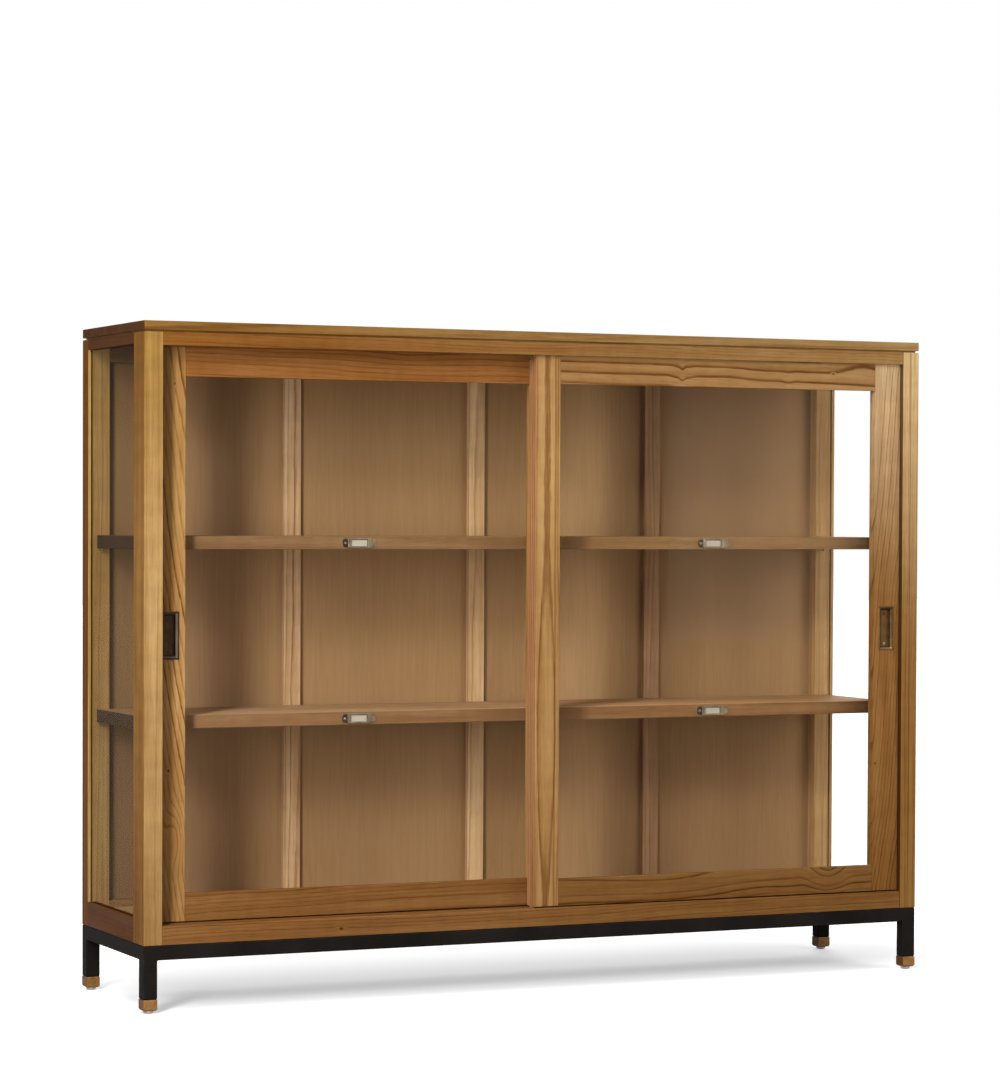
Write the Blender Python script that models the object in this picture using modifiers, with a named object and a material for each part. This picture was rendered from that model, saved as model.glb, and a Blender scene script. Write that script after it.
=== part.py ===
"""Glazed display cabinet with two sliding doors on a black tube stand.

Units are metres, +Z is up, and the doors face -Y. The origin is on the floor, under the
middle of the cabinet.
"""

import math

import bmesh
import bpy
from mathutils import Vector

# Overall size
WIDTH = 1.800
DEPTH = 0.410
HEIGHT = 1.394

# Clearances
GAP = 0.0003  # between pieces that touch
OVERRUN = 0.002  # how far a cutter runs past the face that it opens
EDGE_EASE = 0.0008  # softened arris on every wooden piece

# Stand: welded square tube, ferrules and glides
STAND_HEIGHT = 0.138
TUBE = 0.030
TUBE_ROUND = 0.002
FERRULE_HEIGHT = 0.0225
FERRULE_CHAMFER = 0.003
GLIDE_HEIGHT = 0.006
GLIDE_RADIUS = 0.011
GLIDE_FLAT_RADIUS = 0.006

# Top board, with a shadow gap under it
TOP_THICK = 0.0185
REVEAL_HEIGHT = 0.0035
REVEAL_DEPTH = 0.006

# Posts and rails
POST_WIDTH = 0.040
FRONT_POST_DEPTH = 0.066
REAR_POST_WIDTH = 0.048
REAR_POST_DEPTH = 0.037
SIDE_FRAME_THICK = 0.020
SIDE_TOP_RAIL_HEIGHT = 0.022
SIDE_BOTTOM_RAIL_HEIGHT = 0.051
HEAD_RAIL_HEIGHT = 0.027
SILL_HEIGHT = 0.0375
REAR_TOP_RAIL_HEIGHT = 0.047
REAR_BOTTOM_RAIL_HEIGHT = 0.051

# Back
PANEL_THICK = 0.007
PANEL_REBATE_WIDTH = 0.012
PANEL_REBATE_DEPTH = 0.008
BATTEN_WIDTH = 0.038
BATTEN_THICK = 0.014
BATTEN_SPACING = 0.435

# Floor and shelves
FLOOR_THICK = 0.018
FLOOR_HOUSING = 0.006
SHELF_THICK = 0.027
UPPER_SHELF_TOP = 0.9615
LOWER_SHELF_TOP = 0.595
SHELF_END_CLEAR = 0.002  # between a shelf's front tongue and the rear door's edge
PIN_RADIUS = 0.003
PIN_LENGTH = 0.020
PIN_HOLE_DEPTH = 0.010
PIN_FROM_FACE = 0.012  # from a front post's inner face to the pin's axis

# Side glass and door glass
GLASS_THICK = 0.004
GLASS_BITE = 0.008  # how far the glass enters its grooves and rebates
GROOVE_SPARE = 0.001  # how much deeper those are
SIDE_GLASS_SETBACK = 0.007
DOOR_GLASS_SETBACK = 0.014

# Sliding doors
DOOR_THICK = 0.038
DOOR_RECESS = 0.010
DOOR_PASS_GAP = 0.002
DOOR_SIDE_CLEAR = 0.001
DOOR_OVERLAP = 0.060
DOOR_SILL_CLEAR = 0.003
OUTER_STILE_WIDTH = 0.064
MEETING_STILE_WIDTH = 0.056
DOOR_TOP_RAIL_SHOWN = 0.0595
DOOR_BOTTOM_RAIL_HEIGHT = 0.057
TENON_THICK = 0.012
TENON_LENGTH = 0.030
TENON_SHOULDER = 0.008

# Tracks: grooves in the head rail and the sill, tongues on the doors
TRACK_BACK_LIP = 0.007
SLIDE_CLEAR = 0.0007
TOP_TONGUE_THICK = 0.019
TOP_TONGUE_HEIGHT = 0.008
TOP_GROOVE_DEPTH = 0.012
TOP_REBATE_DROP = 0.009
BOTTOM_TONGUE_THICK = 0.010
BOTTOM_GROOVE_DEPTH = 0.007

# Recessed pulls
PULL_WIDTH = 0.038
PULL_HEIGHT = 0.098
PULL_CENTRE_HEIGHT = 0.760
PULL_PROUD = 0.0005
PULL_FLANGE_THICK = 0.0015
PULL_RIM = 0.0035
PULL_FLANGE_LAP = 0.002
PULL_CUP_DEPTH = 0.011
PULL_BEVEL = 0.005  # depth of the 45 degree bevel, if the well didn't cut it off
PULL_WELL_INSET = 0.0035  # from the bevel's mouth to the well's
PULL_WELL_SLOPE = 0.0015
PULL_WALL = 0.0013

# Label holders and cards
HOLDER_WIDTH = 0.0535
HOLDER_HEIGHT = 0.0215
HOLDER_THICK = 0.0032
HOLDER_EDGE = 0.0008
HOLDER_WINDOW_WIDTH = 0.0365
HOLDER_WINDOW_HEIGHT = 0.014
HOLDER_LEFT_X = -0.397
HOLDER_RIGHT_X = 0.438
EAR_LENGTH = 0.0115
EAR_HEIGHT = 0.018
EAR_THICK = 0.0016
EAR_ROUND = 0.006
EAR_SET_FORWARD = 0.0001  # keeps the ears' back off the shelf's plane
CARD_LAP = 0.0015
CARD_THICK = 0.0006
CARD_POCKET_DEPTH = 0.0012

# Facets
MERGE_DISTANCE = 0.00001
GLIDE_STEPS = 24
GLIDE_ARC_STEPS = 4
PIN_SIDES = 16
EAR_ARC_STEPS = 4

# Lines that several pieces share
HALF_WIDTH = WIDTH / 2
FRONT = -DEPTH / 2
REAR = DEPTH / 2
POST_INNER = HALF_WIDTH - POST_WIDTH
REAR_POST_INNER = HALF_WIDTH - REAR_POST_WIDTH
FRAME_INNER = HALF_WIDTH - SIDE_FRAME_THICK
FRONT_POST_BACK = FRONT + FRONT_POST_DEPTH
REAR_POST_FRONT = REAR - REAR_POST_DEPTH
PANEL_SEAT = REAR - PANEL_REBATE_DEPTH
CARCASS_TOP = HEIGHT - TOP_THICK - REVEAL_HEIGHT
HEAD_BOTTOM = CARCASS_TOP - HEAD_RAIL_HEIGHT
SILL_TOP = STAND_HEIGHT + SILL_HEIGHT
SIDE_RAIL_BOTTOM = CARCASS_TOP - SIDE_TOP_RAIL_HEIGHT
SIDE_RAIL_TOP = STAND_HEIGHT + SIDE_BOTTOM_RAIL_HEIGHT
REAR_RAIL_BOTTOM = CARCASS_TOP - REAR_TOP_RAIL_HEIGHT
REAR_RAIL_TOP = STAND_HEIGHT + REAR_BOTTOM_RAIL_HEIGHT
FRONT_DOOR_FACE = FRONT + DOOR_RECESS
REAR_DOOR_FACE = FRONT_DOOR_FACE + DOOR_THICK + DOOR_PASS_GAP
TRACK_BACK = REAR_DOOR_FACE + DOOR_THICK + TRACK_BACK_LIP
DOOR_BOTTOM = SILL_TOP + DOOR_SILL_CLEAR
TONGUE_BOTTOM = SILL_TOP - BOTTOM_GROOVE_DEPTH + GAP
TONGUE_TOP = HEAD_BOTTOM + TOP_TONGUE_HEIGHT
DOOR_REAR_TOP = HEAD_BOTTOM - TOP_REBATE_DROP
DOOR_OUTER_EDGE = POST_INNER - DOOR_SIDE_CLEAR
GROOVE_DEPTH = GLASS_BITE + GROOVE_SPARE
SHELF_LEVELS = {"upper": UPPER_SHELF_TOP, "lower": LOWER_SHELF_TOP}
SIDES = {"left": -1, "right": 1}

# Finishes: colour, roughness, metallic, alpha
POST_WOOD = ((0.60, 0.36, 0.13), 0.42, 0.0, 1.0)
RAIL_WOOD = ((0.36, 0.16, 0.05), 0.42, 0.0, 1.0)
DOOR_WOOD = ((0.44, 0.22, 0.08), 0.42, 0.0, 1.0)
SHELF_WOOD = ((0.30, 0.14, 0.06), 0.48, 0.0, 1.0)
BACK_WOOD = ((0.33, 0.20, 0.09), 0.55, 0.0, 1.0)
BLACK_METAL = ((0.012, 0.011, 0.011), 0.45, 0.6, 1.0)
FERRULE_METAL = ((0.50, 0.27, 0.09), 0.38, 0.7, 1.0)
GLIDE_PLASTIC = ((0.55, 0.52, 0.47), 0.5, 0.0, 1.0)
CLEAR_GLASS = ((0.80, 0.86, 0.84), 0.03, 0.0, 0.25)
BRONZE = ((0.10, 0.065, 0.04), 0.38, 0.85, 1.0)
BRASS = ((0.30, 0.25, 0.17), 0.36, 0.9, 1.0)
CARD = ((0.72, 0.66, 0.54), 0.85, 0.0, 1.0)


def clear_scene():
    for item in list(bpy.data.objects):
        bpy.data.objects.remove(item)


def collection(name):
    found = bpy.data.collections.new(name)
    bpy.context.scene.collection.children.link(found)
    return found


def paint(piece, finish):
    colour, roughness, metallic, alpha = finish
    material = bpy.data.materials.new(piece.name + "_finish")
    material.use_nodes = True
    shader = material.node_tree.nodes["Principled BSDF"]
    shader.inputs["Base Color"].default_value = (*colour, 1.0)
    shader.inputs["Roughness"].default_value = roughness
    shader.inputs["Metallic"].default_value = metallic
    shader.inputs["Alpha"].default_value = alpha
    piece.data.materials.append(material)


def corners(first, second):
    """The lowest and highest corner of the box between two opposite corners."""
    low = Vector([min(a, b) for a, b in zip(first, second)])
    high = Vector([max(a, b) for a, b in zip(first, second)])
    return low, high


def block(name, first, second, home):
    """A plain box mesh between two opposite corners."""
    low, high = corners(first, second)
    mesh = bpy.data.meshes.new(name)
    shape = bmesh.new()
    bmesh.ops.create_cube(shape, size=1.0)
    bmesh.ops.scale(shape, vec=high - low, verts=shape.verts)
    shape.to_mesh(mesh)
    shape.free()
    piece = bpy.data.objects.new(name, mesh)
    piece.location = (low + high) / 2
    home.objects.link(piece)
    return piece


def ease(piece, width, segments=1):
    bevel = piece.modifiers.new("eased_edges", "BEVEL")
    bevel.width = width
    bevel.segments = segments
    bevel.limit_method = "ANGLE"
    bevel.angle_limit = math.radians(30)


def board(name, first, second, finish, parent=None, edge=EDGE_EASE):
    """One wooden board, pane or plate, with softened edges unless edge is 0."""
    piece = block(name, first, second, CABINET)
    paint(piece, finish)
    if edge:
        ease(piece, edge)
    if parent:
        attach(piece, parent)
    return piece


def attach(piece, parent):
    piece.parent = parent
    piece.matrix_parent_inverse = parent.matrix_world.inverted()


def combine(piece, tool, operation):
    tool.hide_render = True
    tool.display_type = "WIRE"
    modifier = piece.modifiers.new(tool.name, "BOOLEAN")
    modifier.operation = operation
    modifier.solver = "EXACT"
    modifier.object = tool


def cut(piece, label, first, second):
    combine(piece, block(piece.name + "_" + label, first, second, CUTTERS), "DIFFERENCE")


def add(piece, label, first, second):
    combine(piece, block(piece.name + "_" + label, first, second, CUTTERS), "UNION")


def round_bar(name, centre, radius, length, sides, home):
    """A cylinder whose axis runs along Y."""
    mesh = bpy.data.meshes.new(name)
    shape = bmesh.new()
    bmesh.ops.create_cone(shape, cap_ends=True, segments=sides, radius1=radius, radius2=radius, depth=length)
    shape.to_mesh(mesh)
    shape.free()
    piece = bpy.data.objects.new(name, mesh)
    piece.location = centre
    piece.rotation_euler = (math.radians(90), 0.0, 0.0)
    home.objects.link(piece)
    return piece


def tapered_pocket(name, mouth_low, mouth_high, depth, slope, home):
    """A cutter that narrows by the slope on every side over its depth along +Y."""
    tool = block(name, mouth_low, (mouth_high[0], mouth_low[1] + depth, mouth_high[2]), home)
    width = mouth_high[0] - mouth_low[0]
    height = mouth_high[2] - mouth_low[2]
    for point in tool.data.vertices:
        if point.co.y > 0:
            point.co.x *= (width - 2 * slope) / width
            point.co.z *= (height - 2 * slope) / height
    return tool


def outline_solid(name, points, height, home):
    """A flat outline in X and Y, filled and extruded to the given height, centred on its plane."""
    curve = bpy.data.curves.new(name, "CURVE")
    curve.dimensions = "2D"
    curve.fill_mode = "BOTH"
    curve.extrude = height / 2
    spline = curve.splines.new("POLY")
    spline.points.add(len(points) - 1)
    for point, (x, y) in zip(spline.points, points):
        point.co = (x, y, 0.0, 1.0)
    spline.use_cyclic_u = True
    guide = bpy.data.objects.new(name + "_outline", curve)
    home.objects.link(guide)
    evaluated = guide.evaluated_get(bpy.context.evaluated_depsgraph_get())
    mesh = bpy.data.meshes.new_from_object(evaluated)
    mesh.name = name
    shape = bmesh.new()
    shape.from_mesh(mesh)
    bmesh.ops.remove_doubles(shape, verts=shape.verts, dist=MERGE_DISTANCE)
    shape.to_mesh(mesh)
    shape.free()
    bpy.data.objects.remove(guide)
    piece = bpy.data.objects.new(name, mesh)
    home.objects.link(piece)
    return piece


def stand():
    """The welded tube frame: a ring of four rails on four legs, cut from one block."""
    leg_bottom = GLIDE_HEIGHT + FERRULE_HEIGHT + GAP
    frame_top = STAND_HEIGHT - GAP
    rail_bottom = frame_top - TUBE
    frame = board(
        "base_frame", (-HALF_WIDTH, FRONT, leg_bottom), (HALF_WIDTH, REAR, frame_top), BLACK_METAL, edge=0
    )
    inner_x = HALF_WIDTH - TUBE
    inner_y = REAR - TUBE
    below = leg_bottom - OVERRUN
    cut(frame, "middle", (-inner_x, -inner_y, below), (inner_x, inner_y, frame_top + OVERRUN))
    over_x = HALF_WIDTH + OVERRUN
    over_y = REAR + OVERRUN
    cut(frame, "front_to_back", (-inner_x, -over_y, below), (inner_x, over_y, rail_bottom))
    cut(frame, "side_to_side", (-over_x, -inner_y, below), (over_x, inner_y, rail_bottom))
    ease(frame, TUBE_ROUND)
    for label, x, y in corner_places():
        ferrule(label, x, y)
        glide(label, x, y)


def corner_places():
    """A name and the leg's centre for each corner of the stand."""
    for side, sign in SIDES.items():
        for end, y in (("front", FRONT + TUBE / 2), ("rear", REAR - TUBE / 2)):
            yield end + "_" + side, sign * (HALF_WIDTH - TUBE / 2), y


def ferrule(label, x, y):
    """A square tip of the leg's own size, chamfered round its foot."""
    half = TUBE / 2
    low = GLIDE_HEIGHT
    high = low + FERRULE_HEIGHT
    tip = block(label + "_ferrule", (x - half, y - half, low), (x + half, y + half, high), CABINET)
    shape = bmesh.new()
    shape.from_mesh(tip.data)
    foot = [edge for edge in shape.edges if all(point.co.z < 0 for point in edge.verts)]
    bmesh.ops.bevel(shape, geom=foot, offset=FERRULE_CHAMFER, segments=1, affect="EDGES")
    shape.to_mesh(tip.data)
    shape.free()
    paint(tip, FERRULE_METAL)


def glide(label, x, y):
    """A turned dome under each ferrule, flat where it meets the floor."""
    top = GLIDE_HEIGHT - GAP
    reach = GLIDE_RADIUS - GLIDE_FLAT_RADIUS
    profile = [(0.0, top), (GLIDE_RADIUS, top)]
    for step in range(1, GLIDE_ARC_STEPS + 1):
        angle = math.radians(90) * step / GLIDE_ARC_STEPS
        profile.append((GLIDE_FLAT_RADIUS + reach * math.cos(angle), top * (1 - math.sin(angle))))
    profile.append((0.0, 0.0))
    mesh = bpy.data.meshes.new(label + "_glide")
    edges = [(index, index + 1) for index in range(len(profile) - 1)]
    mesh.from_pydata([(radius, 0.0, z) for radius, z in profile], edges, [])
    dome = bpy.data.objects.new(label + "_glide", mesh)
    dome.location = (x, y, 0.0)
    CABINET.objects.link(dome)
    screw = dome.modifiers.new("turned", "SCREW")
    screw.steps = GLIDE_STEPS
    screw.render_steps = GLIDE_STEPS
    screw.use_merge_vertices = True
    screw.merge_threshold = MERGE_DISTANCE
    screw.use_smooth_shade = True
    paint(dome, GLIDE_PLASTIC)


def top():
    """The top board, rebated all round its underside to leave a shadow gap."""
    panel = board(
        "top_panel", (-HALF_WIDTH, FRONT, HEIGHT - TOP_THICK), (HALF_WIDTH, REAR, HEIGHT), RAIL_WOOD
    )
    inset_x = HALF_WIDTH - REVEAL_DEPTH
    inset_y = REAR - REVEAL_DEPTH
    add(panel, "step", (-inset_x, -inset_y, CARCASS_TOP), (inset_x, inset_y, HEIGHT - TOP_THICK / 2))


def pin_places(sign):
    """Where a post's two shelf pins sit: distance from the middle, and the height of each axis."""
    x = sign * (POST_INNER + PIN_FROM_FACE)
    return [(x, level - SHELF_THICK - PIN_RADIUS - GAP) for level in SHELF_LEVELS.values()]


def glass_groove(piece, sign, y_from, y_to, z_from, z_to):
    """A slot for the side glass, at the glass's own distance from the side face."""
    outer = HALF_WIDTH - SIDE_GLASS_SETBACK + GAP
    inner = HALF_WIDTH - SIDE_GLASS_SETBACK - GLASS_THICK - GAP
    cut(piece, "glass_groove", (sign * outer, y_from, z_from), (sign * inner, y_to, z_to))


def front_post(side, sign):
    name = "front_" + side + "_post"
    post = board(
        name,
        (sign * HALF_WIDTH, FRONT, STAND_HEIGHT),
        (sign * POST_INNER, FRONT_POST_BACK, CARCASS_TOP - GAP),
        POST_WOOD,
    )
    low = SIDE_RAIL_TOP - GROOVE_DEPTH
    high = SIDE_RAIL_BOTTOM + GROOVE_DEPTH
    glass_groove(post, sign, FRONT_POST_BACK - GROOVE_DEPTH, FRONT_POST_BACK + OVERRUN, low, high)
    drill(post, pin_places(sign), FRONT_POST_BACK, -1)


def rear_post(side, sign):
    name = "rear_" + side + "_post"
    post = board(
        name,
        (sign * HALF_WIDTH, REAR_POST_FRONT, STAND_HEIGHT),
        (sign * REAR_POST_INNER, REAR, CARCASS_TOP - GAP),
        POST_WOOD,
    )
    low = SIDE_RAIL_TOP - GROOVE_DEPTH
    high = SIDE_RAIL_BOTTOM + GROOVE_DEPTH
    glass_groove(post, sign, REAR_POST_FRONT - OVERRUN, REAR_POST_FRONT + GROOVE_DEPTH, low, high)
    drill(post, pin_places(sign), REAR_POST_FRONT, 1)
    panel_rebate(
        post,
        (sign * (REAR_POST_INNER - OVERRUN), REAR_RAIL_TOP - PANEL_REBATE_WIDTH),
        (sign * (REAR_POST_INNER + PANEL_REBATE_WIDTH), REAR_RAIL_BOTTOM + PANEL_REBATE_WIDTH),
    )


def drill(post, places, face, into):
    """Blind holes for the shelf pins, from a post's face, into -Y or +Y."""
    for level, (x, z) in zip(SHELF_LEVELS, places):
        far = face + into * (PIN_HOLE_DEPTH + GAP)
        near = face - into * OVERRUN
        centre = (x, (far + near) / 2, z)
        name = post.name + "_" + level + "_pin_hole"
        tool = round_bar(name, centre, PIN_RADIUS + GAP, abs(far - near), PIN_SIDES, CUTTERS)
        combine(post, tool, "DIFFERENCE")


def panel_rebate(piece, first, second):
    """The step that the back panel drops into from behind, between two points in X and Z."""
    cut(piece, "panel_rebate", (first[0], PANEL_SEAT, first[1]), (second[0], REAR + OVERRUN, second[1]))


def side_frame(side, sign):
    """The rails and the pane between a front post and a rear post."""
    y_from = FRONT_POST_BACK + GAP
    y_to = REAR_POST_FRONT - GAP
    lower = board(
        side + "_bottom_rail",
        (sign * HALF_WIDTH, y_from, STAND_HEIGHT),
        (sign * FRAME_INNER, y_to, SIDE_RAIL_TOP),
        RAIL_WOOD,
    )
    high = SIDE_RAIL_TOP + OVERRUN
    glass_groove(lower, sign, y_from - OVERRUN, y_to + OVERRUN, SIDE_RAIL_TOP - GROOVE_DEPTH, high)
    upper = board(
        side + "_top_rail",
        (sign * HALF_WIDTH, y_from, SIDE_RAIL_BOTTOM),
        (sign * FRAME_INNER, y_to, CARCASS_TOP - GAP),
        RAIL_WOOD,
    )
    low = SIDE_RAIL_BOTTOM - OVERRUN
    glass_groove(upper, sign, y_from - OVERRUN, y_to + OVERRUN, low, SIDE_RAIL_BOTTOM + GROOVE_DEPTH)
    outer = HALF_WIDTH - SIDE_GLASS_SETBACK
    board(
        side + "_side_glass",
        (sign * outer, FRONT_POST_BACK - GLASS_BITE, SIDE_RAIL_TOP - GLASS_BITE),
        (sign * (outer - GLASS_THICK), REAR_POST_FRONT + GLASS_BITE, SIDE_RAIL_BOTTOM + GLASS_BITE),
        CLEAR_GLASS,
        edge=0,
    )


def track_lines():
    """For each door: its name and the Y of its front face."""
    return {"right": FRONT_DOOR_FACE, "left": REAR_DOOR_FACE}


def head_and_sill():
    """The two front rails, each with a groove for either door."""
    x = POST_INNER - GAP
    head_top = CARCASS_TOP - GAP
    head = board("front_top_rail", (-x, FRONT, HEAD_BOTTOM), (x, TRACK_BACK, head_top), RAIL_WOOD)
    sill = board("front_sill", (-x, FRONT, STAND_HEIGHT), (x, TRACK_BACK, SILL_TOP), RAIL_WOOD)
    for side, face in track_lines().items():
        cut(
            head,
            side + "_track",
            (-x - OVERRUN, face - SLIDE_CLEAR, HEAD_BOTTOM - OVERRUN),
            (x + OVERRUN, face + TOP_TONGUE_THICK + SLIDE_CLEAR, HEAD_BOTTOM + TOP_GROOVE_DEPTH),
        )
        middle = face + DOOR_THICK / 2
        half = BOTTOM_TONGUE_THICK / 2 + SLIDE_CLEAR
        cut(
            sill,
            side + "_track",
            (-x - OVERRUN, middle - half, SILL_TOP - BOTTOM_GROOVE_DEPTH),
            (x + OVERRUN, middle + half, SILL_TOP + OVERRUN),
        )
    cut(
        sill,
        "floor_housing",
        (-x - OVERRUN, TRACK_BACK - FLOOR_HOUSING - GAP, SILL_TOP - FLOOR_THICK - 2 * GAP),
        (x + OVERRUN, TRACK_BACK + OVERRUN, SILL_TOP + OVERRUN),
    )


def floor():
    """The floor board, housed in the sill and the rear bottom rail."""
    deck = board(
        "floor_board",
        (-FRAME_INNER + GAP, TRACK_BACK + GAP, SILL_TOP - FLOOR_THICK - GAP),
        (FRAME_INNER - GAP, REAR_POST_FRONT - GAP, SILL_TOP - GAP),
        SHELF_WOOD,
        edge=0,
    )
    low = SILL_TOP - FLOOR_THICK - GAP
    high = SILL_TOP - GAP
    x = POST_INNER - 2 * GAP
    front_edge = TRACK_BACK - FLOOR_HOUSING
    add(deck, "front_edge", (-x, front_edge, low), (x, TRACK_BACK + OVERRUN, high))
    x = REAR_POST_INNER - 2 * GAP
    rear_edge = REAR_POST_FRONT + FLOOR_HOUSING
    add(deck, "rear_edge", (-x, REAR_POST_FRONT - OVERRUN, low), (x, rear_edge, high))


def back():
    """Rear rails, the veneered panel behind them and the battens on its face."""
    x = REAR_POST_INNER - GAP
    lower = board(
        "rear_bottom_rail", (-x, REAR_POST_FRONT, STAND_HEIGHT), (x, REAR, REAR_RAIL_TOP), BACK_WOOD
    )
    over = x + OVERRUN
    panel_rebate(lower, (-over, REAR_RAIL_TOP - PANEL_REBATE_WIDTH), (over, REAR_RAIL_TOP + OVERRUN))
    cut(
        lower,
        "floor_housing",
        (-over, REAR_POST_FRONT - OVERRUN, SILL_TOP - FLOOR_THICK - 2 * GAP),
        (over, REAR_POST_FRONT + FLOOR_HOUSING + GAP, SILL_TOP),
    )
    upper = board(
        "rear_top_rail", (-x, REAR_POST_FRONT, REAR_RAIL_BOTTOM), (x, REAR, CARCASS_TOP - GAP), BACK_WOOD
    )
    high = REAR_RAIL_BOTTOM + PANEL_REBATE_WIDTH
    panel_rebate(upper, (-over, REAR_RAIL_BOTTOM - OVERRUN), (over, high))
    reach = PANEL_REBATE_WIDTH - GAP
    board(
        "back_panel",
        (-REAR_POST_INNER - reach, PANEL_SEAT + GAP, REAR_RAIL_TOP - reach),
        (REAR_POST_INNER + reach, PANEL_SEAT + GAP + PANEL_THICK, REAR_RAIL_BOTTOM + reach),
        BACK_WOOD,
        edge=0,
    )
    for label, place in (("left", -1), ("middle", 0), ("right", 1)):
        centre = place * BATTEN_SPACING
        board(
            label + "_batten",
            (centre - BATTEN_WIDTH / 2, PANEL_SEAT - BATTEN_THICK, REAR_RAIL_TOP + GAP),
            (centre + BATTEN_WIDTH / 2, PANEL_SEAT, REAR_RAIL_BOTTOM - GAP),
            BACK_WOOD,
        )


def shelf(level, height):
    """A board whose two ends run forward past the doors to the front posts."""
    end = FRAME_INNER - GAP
    tongue = DOOR_OUTER_EDGE + SHELF_END_CLEAR
    back_edge = REAR_POST_FRONT - GAP
    ahead = FRONT_POST_BACK + GAP
    outline = [
        (-end, ahead),
        (-tongue, ahead),
        (-tongue, TRACK_BACK),
        (tongue, TRACK_BACK),
        (tongue, ahead),
        (end, ahead),
        (end, back_edge),
        (-end, back_edge),
    ]
    piece = outline_solid(level + "_shelf", outline, SHELF_THICK, CABINET)
    piece.location.z = height - SHELF_THICK / 2
    ease(piece, EDGE_EASE)
    paint(piece, SHELF_WOOD)
    for side, x in (("left", HOLDER_LEFT_X), ("right", HOLDER_RIGHT_X)):
        label_holder(level + "_" + side, x, height - SHELF_THICK / 2)


def shelf_pins():
    """Four pins under each shelf, half in a post and half under the shelf."""
    shown = PIN_LENGTH - PIN_HOLE_DEPTH
    for side, sign in SIDES.items():
        for level, (x, z) in zip(SHELF_LEVELS, pin_places(sign)):
            front_y = FRONT_POST_BACK + (shown - PIN_HOLE_DEPTH) / 2
            rear_y = REAR_POST_FRONT - (shown - PIN_HOLE_DEPTH) / 2
            for end, y in (("front", front_y), ("rear", rear_y)):
                name = "_".join((level, "shelf", end, side, "pin"))
                pin = round_bar(name, (x, y, z), PIN_RADIUS, PIN_LENGTH, PIN_SIDES, CABINET)
                pin.data.shade_smooth()
                pin.data.set_sharp_from_angle(angle=math.radians(40))
                paint(pin, BRASS)


def rounded_outline(width, height, radius):
    """Corner arcs of a rounded rectangle, as points that run anticlockwise."""
    points = []
    for quarter, (x, y) in enumerate(((1, 1), (-1, 1), (-1, -1), (1, -1))):
        for step in range(EAR_ARC_STEPS + 1):
            angle = math.radians(90) * (quarter + step / EAR_ARC_STEPS)
            centre_x = x * (width / 2 - radius)
            centre_y = y * (height / 2 - radius)
            points.append((centre_x + radius * math.cos(angle), centre_y + radius * math.sin(angle)))
    return points


def label_holder(label, x, z):
    """A cast frame with a screw ear at each end, and the blank card that it holds."""
    back_face = TRACK_BACK - GAP
    front_face = back_face - HOLDER_THICK
    half_w = HOLDER_WIDTH / 2
    half_h = HOLDER_HEIGHT / 2
    name = label + "_label_holder"
    low = (x - half_w, front_face, z - half_h)
    high = (x + half_w, back_face, z + half_h)
    frame = board(name, low, high, BRASS, edge=HOLDER_EDGE)
    outline = rounded_outline(HOLDER_WIDTH + 2 * EAR_LENGTH, EAR_HEIGHT, EAR_ROUND)
    ears = outline_solid(name + "_ears", outline, EAR_THICK, CUTTERS)
    ears.rotation_euler = (math.radians(90), 0.0, 0.0)
    ears.location = (x, back_face - EAR_SET_FORWARD - EAR_THICK / 2, z)
    combine(frame, ears, "UNION")
    window_w = HOLDER_WINDOW_WIDTH / 2
    window_h = HOLDER_WINDOW_HEIGHT / 2
    cut(
        frame,
        "window",
        (x - window_w, front_face - OVERRUN, z - window_h),
        (x + window_w, back_face + OVERRUN, z + window_h),
    )
    card_w = window_w + CARD_LAP
    card_h = window_h + CARD_LAP
    cut(
        frame,
        "card_pocket",
        (x - card_w - GAP, back_face - CARD_POCKET_DEPTH, z - card_h - GAP),
        (x + card_w + GAP, back_face + OVERRUN, z + card_h + GAP),
    )
    card_front = back_face - CARD_POCKET_DEPTH + GAP
    board(
        label + "_label_card",
        (x - card_w, card_front, z - card_h),
        (x + card_w, card_front + CARD_THICK, z + card_h),
        CARD,
        edge=0,
    )


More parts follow.
